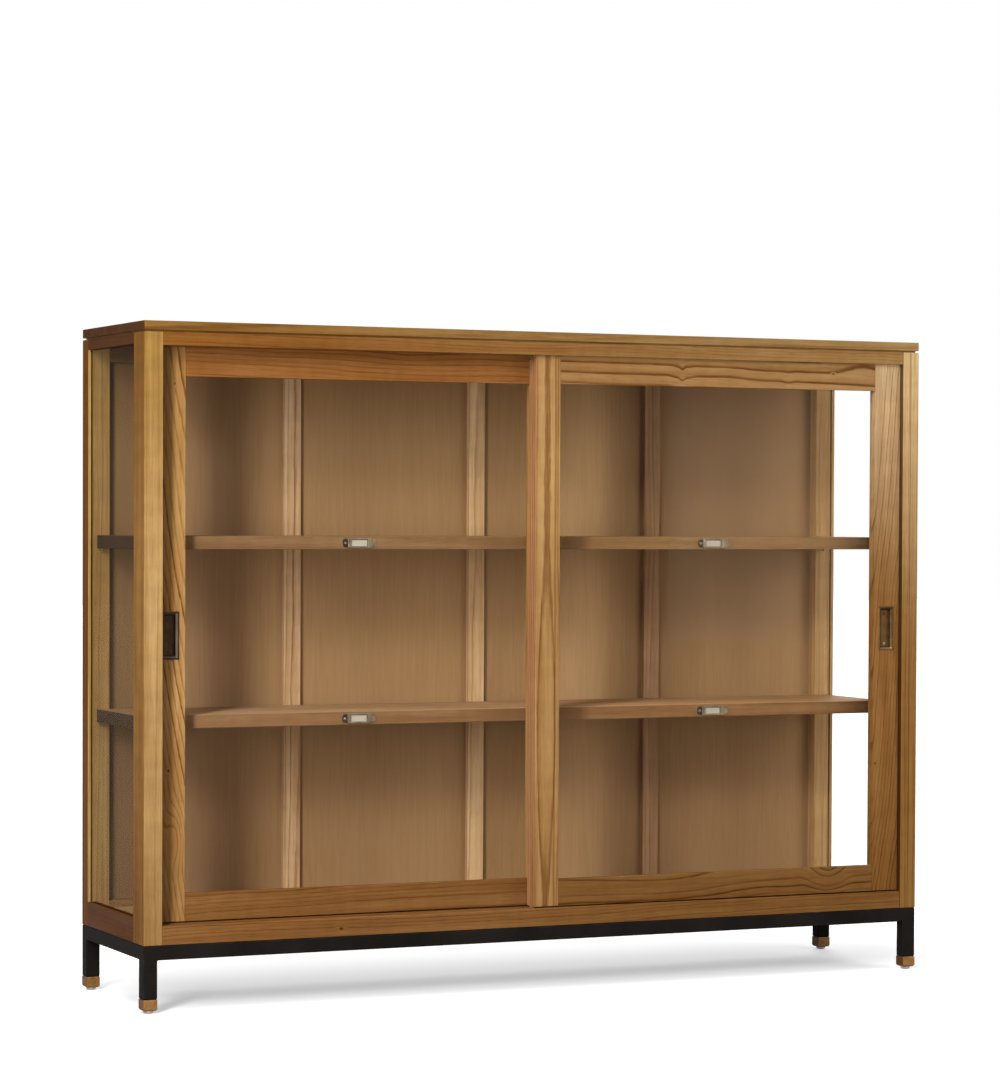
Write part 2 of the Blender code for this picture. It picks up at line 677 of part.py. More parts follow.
def door(side, sign, face):
    """One frame: two full-height stiles, two rails, the pull, and the glass, let in from behind."""
    slide = bpy.data.objects.new(side + "_door_slide", None)
    slide.location = (sign * DOOR_OUTER_EDGE, face + DOOR_THICK / 2, DOOR_BOTTOM)
    CABINET.objects.link(slide)
    bpy.context.view_layer.update()
    name = side + "_door_"
    outer = sign * DOOR_OUTER_EDGE
    outer_in = sign * (DOOR_OUTER_EDGE - OUTER_STILE_WIDTH)
    meeting = -sign * DOOR_OVERLAP / 2
    meeting_in = meeting + sign * MEETING_STILE_WIDTH
    glass_low = DOOR_BOTTOM + DOOR_BOTTOM_RAIL_HEIGHT
    glass_high = HEAD_BOTTOM - DOOR_TOP_RAIL_SHOWN
    tenons = tenon_heights(glass_low, glass_high)
    tenon_front = face + (DOOR_THICK - TENON_THICK) / 2
    tenon_back = face + (DOOR_THICK + TENON_THICK) / 2
    outer_stile = door_stile(name + "outer_stile", outer, outer_in, face, slide)
    meeting_stile = door_stile(name + "meeting_stile", meeting, meeting_in, face, slide)
    rebate = (face + DOOR_GLASS_SETBACK - GAP, face + DOOR_THICK + OVERRUN)
    for stile, edge, into in ((outer_stile, outer_in, sign), (meeting_stile, meeting_in, -sign)):
        cut(
            stile,
            "glass_rebate",
            (edge - into * OVERRUN, rebate[0], glass_low - GROOVE_DEPTH),
            (edge + into * GROOVE_DEPTH, rebate[1], glass_high + GROOVE_DEPTH),
        )
        for label, (low, high) in tenons.items():
            cut(
                stile,
                label + "_mortise",
                (edge - into * OVERRUN, tenon_front - GAP, low - GAP),
                (edge + into * (TENON_LENGTH + GAP), tenon_back + GAP, high + GAP),
            )
    ends = (meeting_in + sign * GAP, outer_in - sign * GAP)
    top_rail = board(
        name + "top_rail",
        (ends[0], face, glass_high),
        (ends[1], face + DOOR_THICK, TONGUE_TOP),
        DOOR_WOOD,
        parent=slide,
    )
    top_rebate(top_rail, ends, face)
    cut(
        top_rail,
        "glass_rebate",
        (ends[0] - sign * OVERRUN, rebate[0], glass_high - OVERRUN),
        (ends[1] + sign * OVERRUN, rebate[1], glass_high + GROOVE_DEPTH),
    )
    bottom_rail = board(
        name + "bottom_rail",
        (ends[0], face, TONGUE_BOTTOM),
        (ends[1], face + DOOR_THICK, glass_low),
        DOOR_WOOD,
        parent=slide,
    )
    bottom_rebates(bottom_rail, ends, face)
    cut(
        bottom_rail,
        "glass_rebate",
        (ends[0] - sign * OVERRUN, rebate[0], glass_low - GROOVE_DEPTH),
        (ends[1] + sign * OVERRUN, rebate[1], glass_low + OVERRUN),
    )
    for rail, label in ((top_rail, "top"), (bottom_rail, "bottom")):
        low, high = tenons[label]
        for end, x, out in (("meeting", ends[0], -sign), ("outer", ends[1], sign)):
            add(
                rail,
                end + "_tenon",
                (x - out * OVERRUN, tenon_front, low),
                (x + out * (TENON_LENGTH - GAP), tenon_back, high),
            )
    pane = board(
        name + "glass",
        (meeting_in - sign * GLASS_BITE, face + DOOR_GLASS_SETBACK, glass_low - GLASS_BITE),
        (outer_in + sign * GLASS_BITE, face + DOOR_GLASS_SETBACK + GLASS_THICK, glass_high + GLASS_BITE),
        CLEAR_GLASS,
        edge=0,
    )
    attach(pane, slide)
    pull(name + "pull", (outer + outer_in) / 2, face, outer_stile, slide)


def tenon_heights(glass_low, glass_high):
    """The lowest and highest point of each rail's tenons, clear of the glass rebate."""
    return {
        "bottom": (DOOR_BOTTOM + TENON_SHOULDER, glass_low - GROOVE_DEPTH - TENON_SHOULDER),
        "top": (glass_high + GROOVE_DEPTH + TENON_SHOULDER, DOOR_REAR_TOP - TENON_SHOULDER),
    }


def door_stile(name, x_from, x_to, face, slide):
    low = (x_from, face, TONGUE_BOTTOM)
    high = (x_to, face + DOOR_THICK, TONGUE_TOP)
    stile = board(name, low, high, DOOR_WOOD, parent=slide)
    top_rebate(stile, (x_from, x_to), face)
    bottom_rebates(stile, (x_from, x_to), face)
    return stile


def top_rebate(piece, ends, face):
    """Takes the rear half away above the door's back edge, which leaves the top tongue."""
    cut(
        piece,
        "top_rebate",
        (min(ends) - OVERRUN, face + TOP_TONGUE_THICK, DOOR_REAR_TOP),
        (max(ends) + OVERRUN, face + DOOR_THICK + OVERRUN, TONGUE_TOP + OVERRUN),
    )


def bottom_rebates(piece, ends, face):
    """Takes both faces away below the door's foot, which leaves the bottom tongue."""
    low = min(ends) - OVERRUN
    high = max(ends) + OVERRUN
    tongue_front = face + (DOOR_THICK - BOTTOM_TONGUE_THICK) / 2
    tongue_back = face + (DOOR_THICK + BOTTOM_TONGUE_THICK) / 2
    back_face = face + DOOR_THICK + OVERRUN
    foot = TONGUE_BOTTOM - OVERRUN
    cut(piece, "front_rebate", (low, face - OVERRUN, foot), (high, tongue_front, DOOR_BOTTOM))
    cut(piece, "rear_rebate", (low, tongue_back, foot), (high, back_face, DOOR_BOTTOM))


def pull(name, x, face, stile, slide):
    """A flush cup with a bevelled mouth, let into the stile up to its thin flange."""
    z = PULL_CENTRE_HEIGHT
    half_w = PULL_WIDTH / 2
    half_h = PULL_HEIGHT / 2
    front_face = face - PULL_PROUD
    flange_back = front_face + PULL_FLANGE_THICK
    low = (x - half_w, front_face, z - half_h)
    high = (x + half_w, flange_back, z + half_h)
    cup = board(name, low, high, BRONZE, edge=0)
    body_w = half_w - PULL_FLANGE_LAP
    body_h = half_h - PULL_FLANGE_LAP
    floor_back = front_face + PULL_CUP_DEPTH + PULL_WALL
    add(
        cup,
        "body",
        (x - body_w, flange_back - PULL_FLANGE_THICK / 2, z - body_h),
        (x + body_w, floor_back, z + body_h),
    )
    mouth_w = half_w - PULL_RIM
    mouth_h = half_h - PULL_RIM
    for label, inset, depth, slope in (
        ("bevel", 0.0, PULL_BEVEL, PULL_BEVEL),
        ("well", PULL_WELL_INSET, PULL_CUP_DEPTH, PULL_WELL_SLOPE),
    ):
        mouth_low = (x - mouth_w + inset, front_face, z - mouth_h + inset)
        mouth_high = (x + mouth_w - inset, front_face, z + mouth_h - inset)
        hollow = tapered_pocket(name + "_" + label, mouth_low, mouth_high, depth, slope, CUTTERS)
        hollow.location.y -= GAP
        combine(cup, hollow, "DIFFERENCE")
    attach(cup, slide)
    cut(
        stile,
        "flange_seat",
        (x - half_w - GAP, face - OVERRUN, z - half_h - GAP),
        (x + half_w + GAP, flange_back + GAP, z + half_h + GAP),
    )
    cut(
        stile,
        "cup_pocket",
        (x - body_w - GAP, face - OVERRUN, z - body_h - GAP),
        (x + body_w + GAP, floor_back + GAP, z + body_h + GAP),
    )


def carcass():
    for side, sign in SIDES.items():
        front_post(side, sign)
        rear_post(side, sign)
        side_frame(side, sign)
    head_and_sill()
    back()
    floor()
    top()


clear_scene()
CABINET = collection("display_cabinet")
CUTTERS = collection("cutters")
stand()
carcass()
for shelf_name, shelf_top in SHELF_LEVELS.items():
    shelf(shelf_name, shelf_top)
shelf_pins()
for door_side, door_face in track_lines().items():
    door(door_side, SIDES[door_side], door_face)
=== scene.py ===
import math
import random

import bmesh
import bpy
from mathutils import Matrix, Vector

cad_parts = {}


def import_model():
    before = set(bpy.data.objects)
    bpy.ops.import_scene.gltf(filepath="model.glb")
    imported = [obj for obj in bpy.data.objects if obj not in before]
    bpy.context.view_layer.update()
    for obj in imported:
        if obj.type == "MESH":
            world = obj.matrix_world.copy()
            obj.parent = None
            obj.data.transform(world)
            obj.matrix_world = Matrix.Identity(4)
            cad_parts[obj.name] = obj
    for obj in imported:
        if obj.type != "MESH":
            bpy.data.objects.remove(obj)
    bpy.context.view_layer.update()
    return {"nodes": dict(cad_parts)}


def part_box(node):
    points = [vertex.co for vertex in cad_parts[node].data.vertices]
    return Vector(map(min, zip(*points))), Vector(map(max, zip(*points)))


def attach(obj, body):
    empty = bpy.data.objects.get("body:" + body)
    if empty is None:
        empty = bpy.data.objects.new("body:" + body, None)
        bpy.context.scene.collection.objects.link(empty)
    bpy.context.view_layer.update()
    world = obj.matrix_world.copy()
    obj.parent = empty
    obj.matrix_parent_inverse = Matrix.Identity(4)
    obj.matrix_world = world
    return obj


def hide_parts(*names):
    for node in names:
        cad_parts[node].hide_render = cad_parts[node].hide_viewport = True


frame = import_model()

# Camera, in metres and degrees, with a 36 mm sensor along the picture's long side
CAMERA_PLACE = Vector((-3.069, -6.7554, 1.0029))
CAMERA_YAW = 24.766
CAMERA_PITCH = 1.4476
CAMERA_ROLL = -0.2548
CAMERA_SIGHT = 200.0  # how far it sees
SENSOR = 36.0
LENS = 112.96
SHIFT_X = -0.0279
SHIFT_Y = 0.0535

# Suns: degrees to the left of the cabinet's front, degrees up, power and angular size
SUNS = {
    "overhead": (40.0, 74.0, 1.05, 26.0),
    "far_left": (42.0, 26.0, 0.86, 12.0),
    "right": (-45.0, 25.0, 0.25, 60.0),
    "back": (-155.0, 35.0, 1.30, 30.0),
}

# Upright light boxes near the cabinet: middle, width, height and power
BOXES = {
    "tall_box": ((-2.37, -2.12, 2.6), 0.4, 4.2, 139.0),
    "wide_box": ((2.70, -2.60, 1.7), 2.2, 2.2, 48.0),
}
LAMP_COLOUR = (1.0, 0.995, 0.985)

WHITE = (1.0, 1.0, 1.0)
WORLD_LIGHT = 0.12  # strength of the even light from all sides
WORLD_COLOUR = (1.0, 0.965, 0.92)
FLOOR_GLOW = 0.42  # what the floor adds to its lit colour where it is looked at
FLOOR_GLOW_BEHIND = 0.62  # the same behind the cabinet, higher there as painted light that lightens the cabinet's shadow
FLOOR_GLOW_RISE = (0.0, 0.5)  # the Y from which the glow grows and where it is full
FLOOR_GLOW_COLOUR = (0.98, 1.0, 1.04)
FLOOR_COLOUR = (0.80, 0.80, 0.80)
FLOOR_BOUNCE = (0.35, 0.35, 0.35)  # its colour for the light that it throws back on the cabinet
FLOOR_SIZE = 60.0

# Board coordinates: the grain, cross and face directions of each kind of board
ALONG_FRONT = "xzy"
UP_FRONT = "zxy"
FLAT_ACROSS = "xyz"
ALONG_SIDE = "yzx"


def smooth_mesh(name, shape, body, material, angle):
    """Makes a riding piece from a bmesh, smooth except at edges sharper than the angle."""
    bmesh.ops.recalc_face_normals(shape, faces=shape.faces)
    mesh = bpy.data.meshes.new(name)
    shape.to_mesh(mesh)
    shape.free()
    mesh.shade_smooth()
    mesh.set_sharp_from_angle(angle=math.radians(angle))
    mesh.materials.append(material)
    piece = bpy.data.objects.new(name, mesh)
    bpy.context.scene.collection.objects.link(piece)
    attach(piece, body)
    return piece


SHADER_SOCKETS = {
    "colour": "Base Color",
    "roughness": "Roughness",
    "metallic": "Metallic",
    "specular": "Specular IOR Level",
}


class Graph:
    """A material's nodes, with short ways to add and join them."""

    def __init__(self, name):
        self.material = bpy.data.materials.new(name)
        self.material.use_nodes = True
        self.tree = self.material.node_tree
        self.shader = self.tree.nodes["Principled BSDF"]
        self.output = self.tree.nodes["Material Output"]

    def node(self, kind, **settings):
        made = self.tree.nodes.new("ShaderNode" + kind)
        for key, value in settings.items():
            setattr(made, key, value)
        return made

    def put(self, socket, value):
        """Links a socket to another, or sets its value or colour."""
        if isinstance(value, bpy.types.NodeSocket):
            self.tree.links.new(value, socket)
        elif isinstance(value, (tuple, list, Vector)) and socket.type == "RGBA":
            socket.default_value = (*value[:3], 1.0)
        else:
            socket.default_value = value

    def surface(self, **values):
        """Puts each named value on its own socket of the shader."""
        for key, value in values.items():
            self.put(self.shader.inputs[SHADER_SOCKETS[key]], value)

    def math(self, operation, *values):
        made = self.node("Math", operation=operation)
        for socket, value in zip(made.inputs, values):
            self.put(socket, value)
        return made.outputs[0]

    def plus(self, first, *others):
        for other in others:
            first = self.math("ADD", first, other)
        return first

    def times(self, first, *others):
        for other in others:
            first = self.math("MULTIPLY", first, other)
        return first

    def vector(self, operation, *values):
        made = self.node("VectorMath", operation=operation)
        for socket, value in zip(made.inputs, values):
            self.put(socket, value)
        return made.outputs["Value" if operation == "LENGTH" else "Vector"]

    def split(self, place):
        made = self.node("SeparateXYZ")
        self.put(made.inputs[0], place)
        return made.outputs

    def range(self, value, low, high, to_low=0.0, to_high=1.0, smooth=True):
        made = self.node("MapRange", interpolation_type="SMOOTHSTEP" if smooth else "LINEAR")
        names = ("Value", "From Min", "From Max", "To Min", "To Max")
        for name, item in zip(names, (value, low, high, to_low, to_high)):
            self.put(made.inputs[name], item)
        return made.outputs["Result"]

    def noise(self, place, stretch, detail=2.0, roughness=0.5):
        """Soft noise from 0 to 1, stretched by a scale for each direction."""
        made = self.node("TexNoise")
        self.put(made.inputs["Vector"], self.vector("MULTIPLY", place, stretch))
        self.put(made.inputs["Scale"], 1.0)
        self.put(made.inputs["Detail"], detail)
        self.put(made.inputs["Roughness"], roughness)
        return made.outputs[0]

    def swing(self, place, stretch, reach, detail=1.0):
        """Soft noise round 0 that reaches about the given amount to either side."""
        field = self.noise(place, stretch, detail)
        return self.range(field, 0.2, 0.8, -reach, reach, smooth=False)

    def blend(self, factor, first, second, kind="MIX"):
        made = self.node("Mix", data_type="RGBA", blend_type=kind)
        self.put(made.inputs[0], factor)
        self.put(made.inputs[6], first)
        self.put(made.inputs[7], second)
        return made.outputs[2]

    def tint(self, tone, factor, colour):
        """The tone multiplied by a colour, as far as the factor from 0 to 1 says."""
        return self.blend(factor, tone, colour, "MULTIPLY")

    def tint_where(self, tone, field, low, high, strength, colour):
        """The tone tinted where a field is high, from its low value to the full strength."""
        return self.tint(tone, self.range(field, low, high, 0.0, strength), colour)

    def place(self, centre=(0.0, 0.0, 0.0), order="xyz"):
        """Object coordinates from a centre, with the axes in the given order."""
        coordinates = self.node("TexCoord").outputs["Object"]
        moved = self.vector("SUBTRACT", coordinates, tuple(centre))
        if order == "xyz":
            return moved
        parts = self.split(moved)
        joined = self.node("CombineXYZ")
        for socket, letter in zip(joined.inputs, order):
            self.put(socket, parts["xyz".index(letter)])
        return joined.outputs[0]

    def oval(self, place, centre, reach):
        """Distance from a line through the board's face, 1 at the oval's rim."""
        moved = self.vector("SUBTRACT", place, (*centre, 0.0))
        scaled = self.vector("MULTIPLY", moved, (1 / reach[0], 1 / reach[1], 0.0))
        return self.vector("LENGTH", scaled)

    def near(self, value, middle, full, none):
        """1 within one distance of the middle and 0 beyond the other."""
        apart = self.math("ABSOLUTE", self.math("SUBTRACT", value, middle))
        return self.range(apart, full, none, 1.0, 0.0)

    def bump(self, height, distance):
        made = self.node("Bump")
        self.put(made.inputs["Height"], height)
        self.put(made.inputs["Distance"], distance)
        self.put(made.inputs["Strength"], 1.0)
        self.put(self.shader.inputs["Normal"], made.outputs[0])

    def edges(self, low, high, reach):
        """1 on the arrises of a box and 0 beyond the reach from them."""
        coordinates = self.node("TexCoord").outputs["Object"]
        from_low = self.vector("ABSOLUTE", self.vector("SUBTRACT", coordinates, tuple(low)))
        from_high = self.vector("ABSOLUTE", self.vector("SUBTRACT", coordinates, tuple(high)))
        x, y, z = self.split(self.vector("MINIMUM", from_low, from_high))
        small = self.math("MINIMUM", x, y)
        large = self.math("MAXIMUM", x, y)
        middle = self.math("MAXIMUM", small, self.math("MINIMUM", large, z))
        return self.range(middle, 0.0, reach, 1.0, 0.0)


def tinted(colour, factors):
    """A colour times a factor for each of its parts, at most 1."""
    return tuple(min(1.0, part * factor) for part, factor in zip(colour, factors))


def even(size):
    """The same number in all three places."""
    return (size, size, size)


# What each feature of the wood does to the board's own colour
EARLY_PALE = (1.09, 1.12, 1.16)
EARLY_DARK = (0.88, 0.82, 0.74)
LATE_LINE = (0.48, 0.36, 0.26)
LATE_SHADE = (0.78, 0.68, 0.56)
PORE_DARK = (0.45, 0.34, 0.25)
WORN_EDGE = (1.20, 1.24, 1.30)
KNOT_DARK = (0.30, 0.19, 0.12)

# Noise of the wood: its scale along, across and through the board, then detail and roughness
CLOUD = ((1.7, 8.0, 8.0), 2.0)
STREAK = ((2.4, 60.0, 60.0), 3.0, 0.6)
DASH = ((13.0, 330.0, 330.0), 2.0, 0.6)
FIBRE = ((40.0, 1100.0, 1100.0), 2.0)
PORE = ((32.0, 620.0, 620.0), 2.0)
RIPPLE = ((34.0, 12.0, 12.0), 2.0)
RUBBED = (even(14.0), 3.0)
POLISH = ((3.0, 30.0, 30.0), 2.0)

# How the year lines wander: the scale of each noise along, across and through the board
SLOW_WAVE = (2.2, 7.0, 7.0)
QUICK_WAVE = (9.0, 40.0, 40.0)
QUICK_WAVE_SHARE = 0.12
SHAKE = (30.0, 260.0, 260.0)
SHAKE_REACH = 0.0005

# A year's part from 0 to 1: where its dark line and its shade grow, and where they fade to 0
LINE_RISE = (0.62, 0.88)
LINE_FALL = (0.92, 1.0, 1.0, 0.0)
SHADE_RISE = (0.05, 0.85)
SHADE_FALL = (0.93, 1.0, 1.0, 0.0)

SOFTEST_YEAR = 0.15  # years whose random number is below this have the faintest lines
PORE_ONSET = (0.58, 0.74)  # the noise from which a pore shows, and where it is full

EDGE_WEAR = 0.0028  # how far the paler wear reaches from an arris
FLANK_EDGE = (0.0005, 0.0010)  # how near a face its painted shading is full, and where it ends
STRIPE_CORE = 0.4  # a stripe's dark core and its sway, as a share of its half width
KNOT_LENGTH = 1.4  # a knot's length along the grain, as a share of its width
WOOD_GLOSS = 0.012
WOOD_BUMP = 0.00025

# A board's usual grain and painted light. Places in it are along and across the board, in metres from
# its middle.
USUAL_GRAIN = {
    "heart": (0.09, 0.06),  # where the log's heart lies, across the board and behind its face
    "tilt": 0.02,  # how fast the heart leaves the board along its length
    "slant": 0.0,  # how far the lines lean across the board
    "ring": 0.009,  # width of a year
    "wave": 0.006,  # how far slow waves bend the lines
    "lines": 0.7,  # strength of the dark lines
    "faintest": 0.12,  # the faintest line, as a share of the boldest
    "figure": 0.04,  # strength of the soft ripples across the grain
    "fade": WHITE,  # painted light along the board: the colour at the far end, as a share of the near end's
    "swells": (),  # place, size and height of each rise or dip that bends the lines
    "painted_light_areas": (),  # place, size and tint of each paler or darker part: painted light or painted shade
    "knots": (),  # place and radius
    "stripes": (),  # place across, half width, strength
    "painted_face_shading": (),  # axis and place of each face with painted light or painted shade of its own, and the tint
    "shine": 0.46,  # middle roughness
}
KNOT_BEND = (5, 2.6, 1.6)  # a knot's bend: its reach along and across in radii, its height in years


def ring_reach(graph, place, far, look):
    """Distance from the log's heart, bent by slow waves and by the board's swells and knots."""
    along, cross, face = graph.split(place)
    side = graph.plus(cross, -look["heart"][0], graph.times(along, look["slant"]))
    deep = graph.plus(face, look["heart"][1], graph.times(along, look["tilt"]))
    reach = graph.plus(
        graph.math("SQRT", graph.plus(graph.times(side, side), graph.times(deep, deep))),
        graph.swing(far, SLOW_WAVE, look["wave"]),
        graph.swing(far, QUICK_WAVE, look["wave"] * QUICK_WAVE_SHARE),
        graph.swing(far, SHAKE, SHAKE_REACH, 2.0),
    )
    bend_along, bend_cross, bend_height = KNOT_BEND
    hills = list(look["swells"])
    for centre, size in look["knots"]:
        hills.append((centre, (size * bend_along, size * bend_cross), look["ring"] * bend_height))
    for centre, size, height in hills:
        hill = graph.range(graph.oval(place, centre, size), 0.0, 1.0, height, 0.0)
        reach = graph.plus(reach, hill)
    return reach


def wood(name, low, high, colour, order, **changes):
    """Lacquered wood sawn from a log, so that its lines run on round each edge."""
    look = {**USUAL_GRAIN, **changes}
    graph = Graph(name)
    draw = random.Random(name)
    place = graph.place((low + high) / 2, order)
    far = graph.vector("ADD", place, tuple(draw.uniform(-9.0, 9.0) for _ in range(3)))
    along, cross, _ = graph.split(place)
    count = graph.math("DIVIDE", ring_reach(graph, place, far, look), look["ring"])
    part = graph.math("FRACT", count)
    year = graph.node("TexWhiteNoise", noise_dimensions="1D")
    graph.put(year.inputs["W"], graph.math("FLOOR", count))
    bold = graph.range(year.outputs["Value"], SOFTEST_YEAR, 1.0, look["faintest"], 1.0)
    line = graph.times(graph.range(part, *LINE_RISE), graph.range(part, *LINE_FALL), bold)
    shade = graph.times(graph.range(part, *SHADE_RISE), graph.range(part, *SHADE_FALL), bold)

    cloud = graph.noise(far, *CLOUD)
    streak = graph.noise(far, *STREAK)
    dash = graph.noise(far, *DASH)
    fibre = graph.noise(far, *FIBRE)
    pore = graph.range(graph.noise(far, *PORE), *PORE_ONSET)
    ripple = graph.noise(far, *RIPPLE)

    tone = colour
    # Painted light or painted shade that grows along the board
    if "fade" in changes:
        half = (high - low)["xyz".index(order[0])] / 2
        far_end = tinted(colour, look["fade"])
        tone = graph.blend(graph.range(along, -half, half), colour, far_end)
    # Painted light and painted shade in soft patches
    for centre, size, shift in look["painted_light_areas"]:
        inside = graph.range(graph.oval(place, centre, size), 0.0, 1.0, 1.0, 0.0)
        tone = graph.tint(tone, inside, shift)
    early = graph.blend(graph.range(streak, 0.30, 0.70), EARLY_DARK, EARLY_PALE)
    tone = graph.tint(tone, 1.0, early)
    tone = graph.tint_where(tone, cloud, 0.30, 0.70, 0.5, EARLY_DARK)
    tone = graph.tint_where(tone, dash, 0.35, 0.70, 0.6, EARLY_DARK)
    tone = graph.tint_where(tone, fibre, 0.35, 0.70, 0.3, EARLY_DARK)
    tone = graph.tint(tone, graph.range(ripple, 0.32, 0.68), even(1.0 - 2 * look["figure"]))
    tone = graph.tint(tone, graph.times(shade, look["lines"] * 0.5), LATE_SHADE)
    broken = graph.range(dash, 0.25, 0.60, 0.65, 1.0)
    tone = graph.tint(tone, graph.times(line, look["lines"], broken), LATE_LINE)
    tone = graph.tint(tone, graph.times(pore, 0.30), PORE_DARK)
    for middle, half, strength in look["stripes"]:
        bent = graph.plus(cross, graph.swing(far, even(5.0), half * STRIPE_CORE))
        stripe = graph.times(graph.near(bent, middle, half * STRIPE_CORE, half), strength)
        tone = graph.tint(tone, stripe, LATE_LINE)
    for centre, size in look["knots"]:
        knot = graph.oval(place, centre, (size * KNOT_LENGTH, size))
        tone = graph.tint(tone, graph.range(knot, 0.5, 1.2, 0.9, 0.0), KNOT_DARK)
    # Painted shade or painted light on single faces
    for letter, value, shift in look["painted_face_shading"]:
        coordinate = graph.split(graph.place())["xyz".index(letter)]
        tone = graph.tint(tone, graph.near(coordinate, value, *FLANK_EDGE), shift)
    rubbed = graph.range(graph.noise(far, *RUBBED), 0.35, 0.70)
    wear = graph.times(graph.edges(low, high, EDGE_WEAR), rubbed)
    tone = graph.tint(tone, graph.times(wear, 0.6), WORN_EDGE)
    shine = look["shine"]
    rough = graph.range(graph.noise(far, *POLISH), 0.25, 0.75, shine - 0.06, shine + 0.08)
    rough = graph.plus(rough, graph.times(pore, 0.18))
    graph.surface(colour=tone, roughness=rough, specular=WOOD_GLOSS)
    height = graph.plus(graph.times(fibre, 0.35), graph.times(pore, -0.8), graph.times(line, -0.25))
    graph.bump(height, WOOD_BUMP)
    return graph.material


VENEER_COLOUR = (0.353, 0.214, 0.099)
VENEER_DARK = (0.95, 0.94, 0.92)
VENEER_PALE = (1.04, 1.04, 1.05)

# Painted light and painted shade across the veneer: place across, reach and tint
PANEL_PAINTED_LIGHT = (
    (-0.90, 0.46, (0.72, 0.72, 0.75)),
    (-0.60, 0.10, (1.16, 1.15, 1.25)),
    (0.27, 0.12, (1.30, 1.34, 1.38)),
    (0.06, 0.16, (0.92, 0.90, 0.88)),
)
PANEL_TOP = (0.36, 0.58)  # how far above its middle the painted shade starts and ends to darken the veneer
PANEL_TOP_PAINTED_SHADE = (0.84, 0.78, 0.71)
PANEL_FOOT = (-0.32, -0.22)  # below its middle, where painted shade makes it a little darker
PANEL_FOOT_PAINTED_SHADE = (0.95, 0.93, 0.94)

# Noise of the veneer up, across and through it, as for the wood
VENEER_BAND = ((0.7, 14.0, 14.0), 2.0, 0.55)
VENEER_STREAK = ((7.0, 170.0, 60.0), 3.0, 0.6)
VENEER_LINE = ((38.0, 560.0, 60.0), 3.0, 0.6)
VENEER_FLECK = ((70.0, 420.0, 60.0), 2.0, 0.6)
VENEER_CLOUD = ((2.4, 3.4, 1.0), 2.0)
VENEER_BUMP = 0.00003


def veneer(name, colour, low, high):
    """Fine straight-grained veneer with soft upright lines."""
    graph = Graph(name)
    place = graph.place((low + high) / 2, UP_FRONT)
    band = graph.noise(place, *VENEER_BAND)
    streak = graph.noise(place, *VENEER_STREAK)
    line = graph.noise(place, *VENEER_LINE)
    fleck = graph.noise(place, *VENEER_FLECK)
    cloud = graph.noise(place, *VENEER_CLOUD)
    height, across, _ = graph.split(place)
    tone = graph.blend(graph.range(streak, 0.30, 0.70), tinted(colour, VENEER_DARK),
                       tinted(colour, VENEER_PALE))
    # Painted light and painted shade across the panel, darker under its top and near its foot
    for middle, reach, shift in PANEL_PAINTED_LIGHT:
        tone = graph.tint(tone, graph.near(across, middle, 0.0, reach), shift)
    tone = graph.tint(tone, graph.range(height, *PANEL_TOP), PANEL_TOP_PAINTED_SHADE)
    tone = graph.tint(tone, graph.range(height, *PANEL_FOOT, 1.0, 0.0), PANEL_FOOT_PAINTED_SHADE)
    tone = graph.tint_where(tone, band, 0.30, 0.72, 0.35, (0.90, 0.86, 0.82))
    tone = graph.tint_where(tone, line, 0.50, 0.74, 0.45, (0.80, 0.74, 0.66))
    tone = graph.tint_where(tone, fleck, 0.56, 0.78, 0.3, (1.12, 1.14, 1.16))
    tone = graph.tint_where(tone, cloud, 0.35, 0.70, 0.6, (0.90, 0.88, 0.84))
    rough = graph.range(fleck, 0.3, 0.7, 0.52, 0.66)
    graph.surface(colour=tone, roughness=rough, specular=WOOD_GLOSS)
    graph.bump(line, VENEER_BUMP)
    return graph.material


PANE_DIM = (0.78, 0.77, 0.73)  # what the left side pane lets through at a slant
PANE_SLANT = (0.35, 0.75)  # how far turned away it starts to dim, and where it is dimmest
PANE_SMEAR = (even(5.0), 3.0)
PANE_ROUGH = (0.015, 0.05)
PANE_MIRROR = 0.05  # share of a clean pane's reflection, so that the wood behind it stays clear
PANE_FACING_SHARE = 0.03  # what a clean pane mirrors head on
PANE_SLANT_SHARE = 0.7  # and what it adds at a slant
PANE_SLANT_POWER = 5.0


def clear_glass(name, dim):
    """A thin pane: it passes light straight on, dimmed at a slant, and mirrors a little of it."""
    graph = Graph(name)
    clear = graph.node("BsdfTransparent")
    gloss = graph.node("BsdfGlossy")
    graph.put(gloss.inputs["Color"], WHITE)
    smear = graph.noise(graph.place(), *PANE_SMEAR)
    graph.put(gloss.inputs["Roughness"], graph.range(smear, 0.35, 0.7, *PANE_ROUGH))
    facing = graph.node("LayerWeight").outputs["Facing"]
    passed = graph.blend(graph.range(facing, *PANE_SLANT), WHITE, dim)
    graph.put(clear.inputs["Color"], passed)
    slant = graph.times(graph.math("POWER", facing, PANE_SLANT_POWER), PANE_SLANT_SHARE)
    mix = graph.node("MixShader")
    graph.put(mix.inputs[0], graph.times(graph.plus(slant, PANE_FACING_SHARE), PANE_MIRROR))
    graph.put(mix.inputs[1], clear.outputs[0])
    graph.put(mix.inputs[2], gloss.outputs[0])
    graph.put(graph.output.inputs["Surface"], mix.outputs[0])
    graph.tree.nodes.remove(graph.shader)
    return graph.material


METAL_BLOTCH = (even(55.0), 4.0, 0.6)
METAL_GRIT = (even(900.0), 2.0)
METAL_RUBBED = (even(120.0), 3.0)
METAL_BRUSH = ((60.0, 60.0, 2600.0), 2.0)
METAL_GLOSS = 0.06
METAL_DULL = (0.72, 0.70, 0.68)
METAL_BRIGHT = even(1.18)
METAL_SPECK = (0.55, 0.50, 0.45)
METAL_BUMP = 0.00008
PAINTED_BAND_EDGE = (0.8, 1.1)  # where a painted band is full and where it ends, as shares of its half width
PAINTED_BAND_START = 0.0008  # how far behind its start a painted band is full
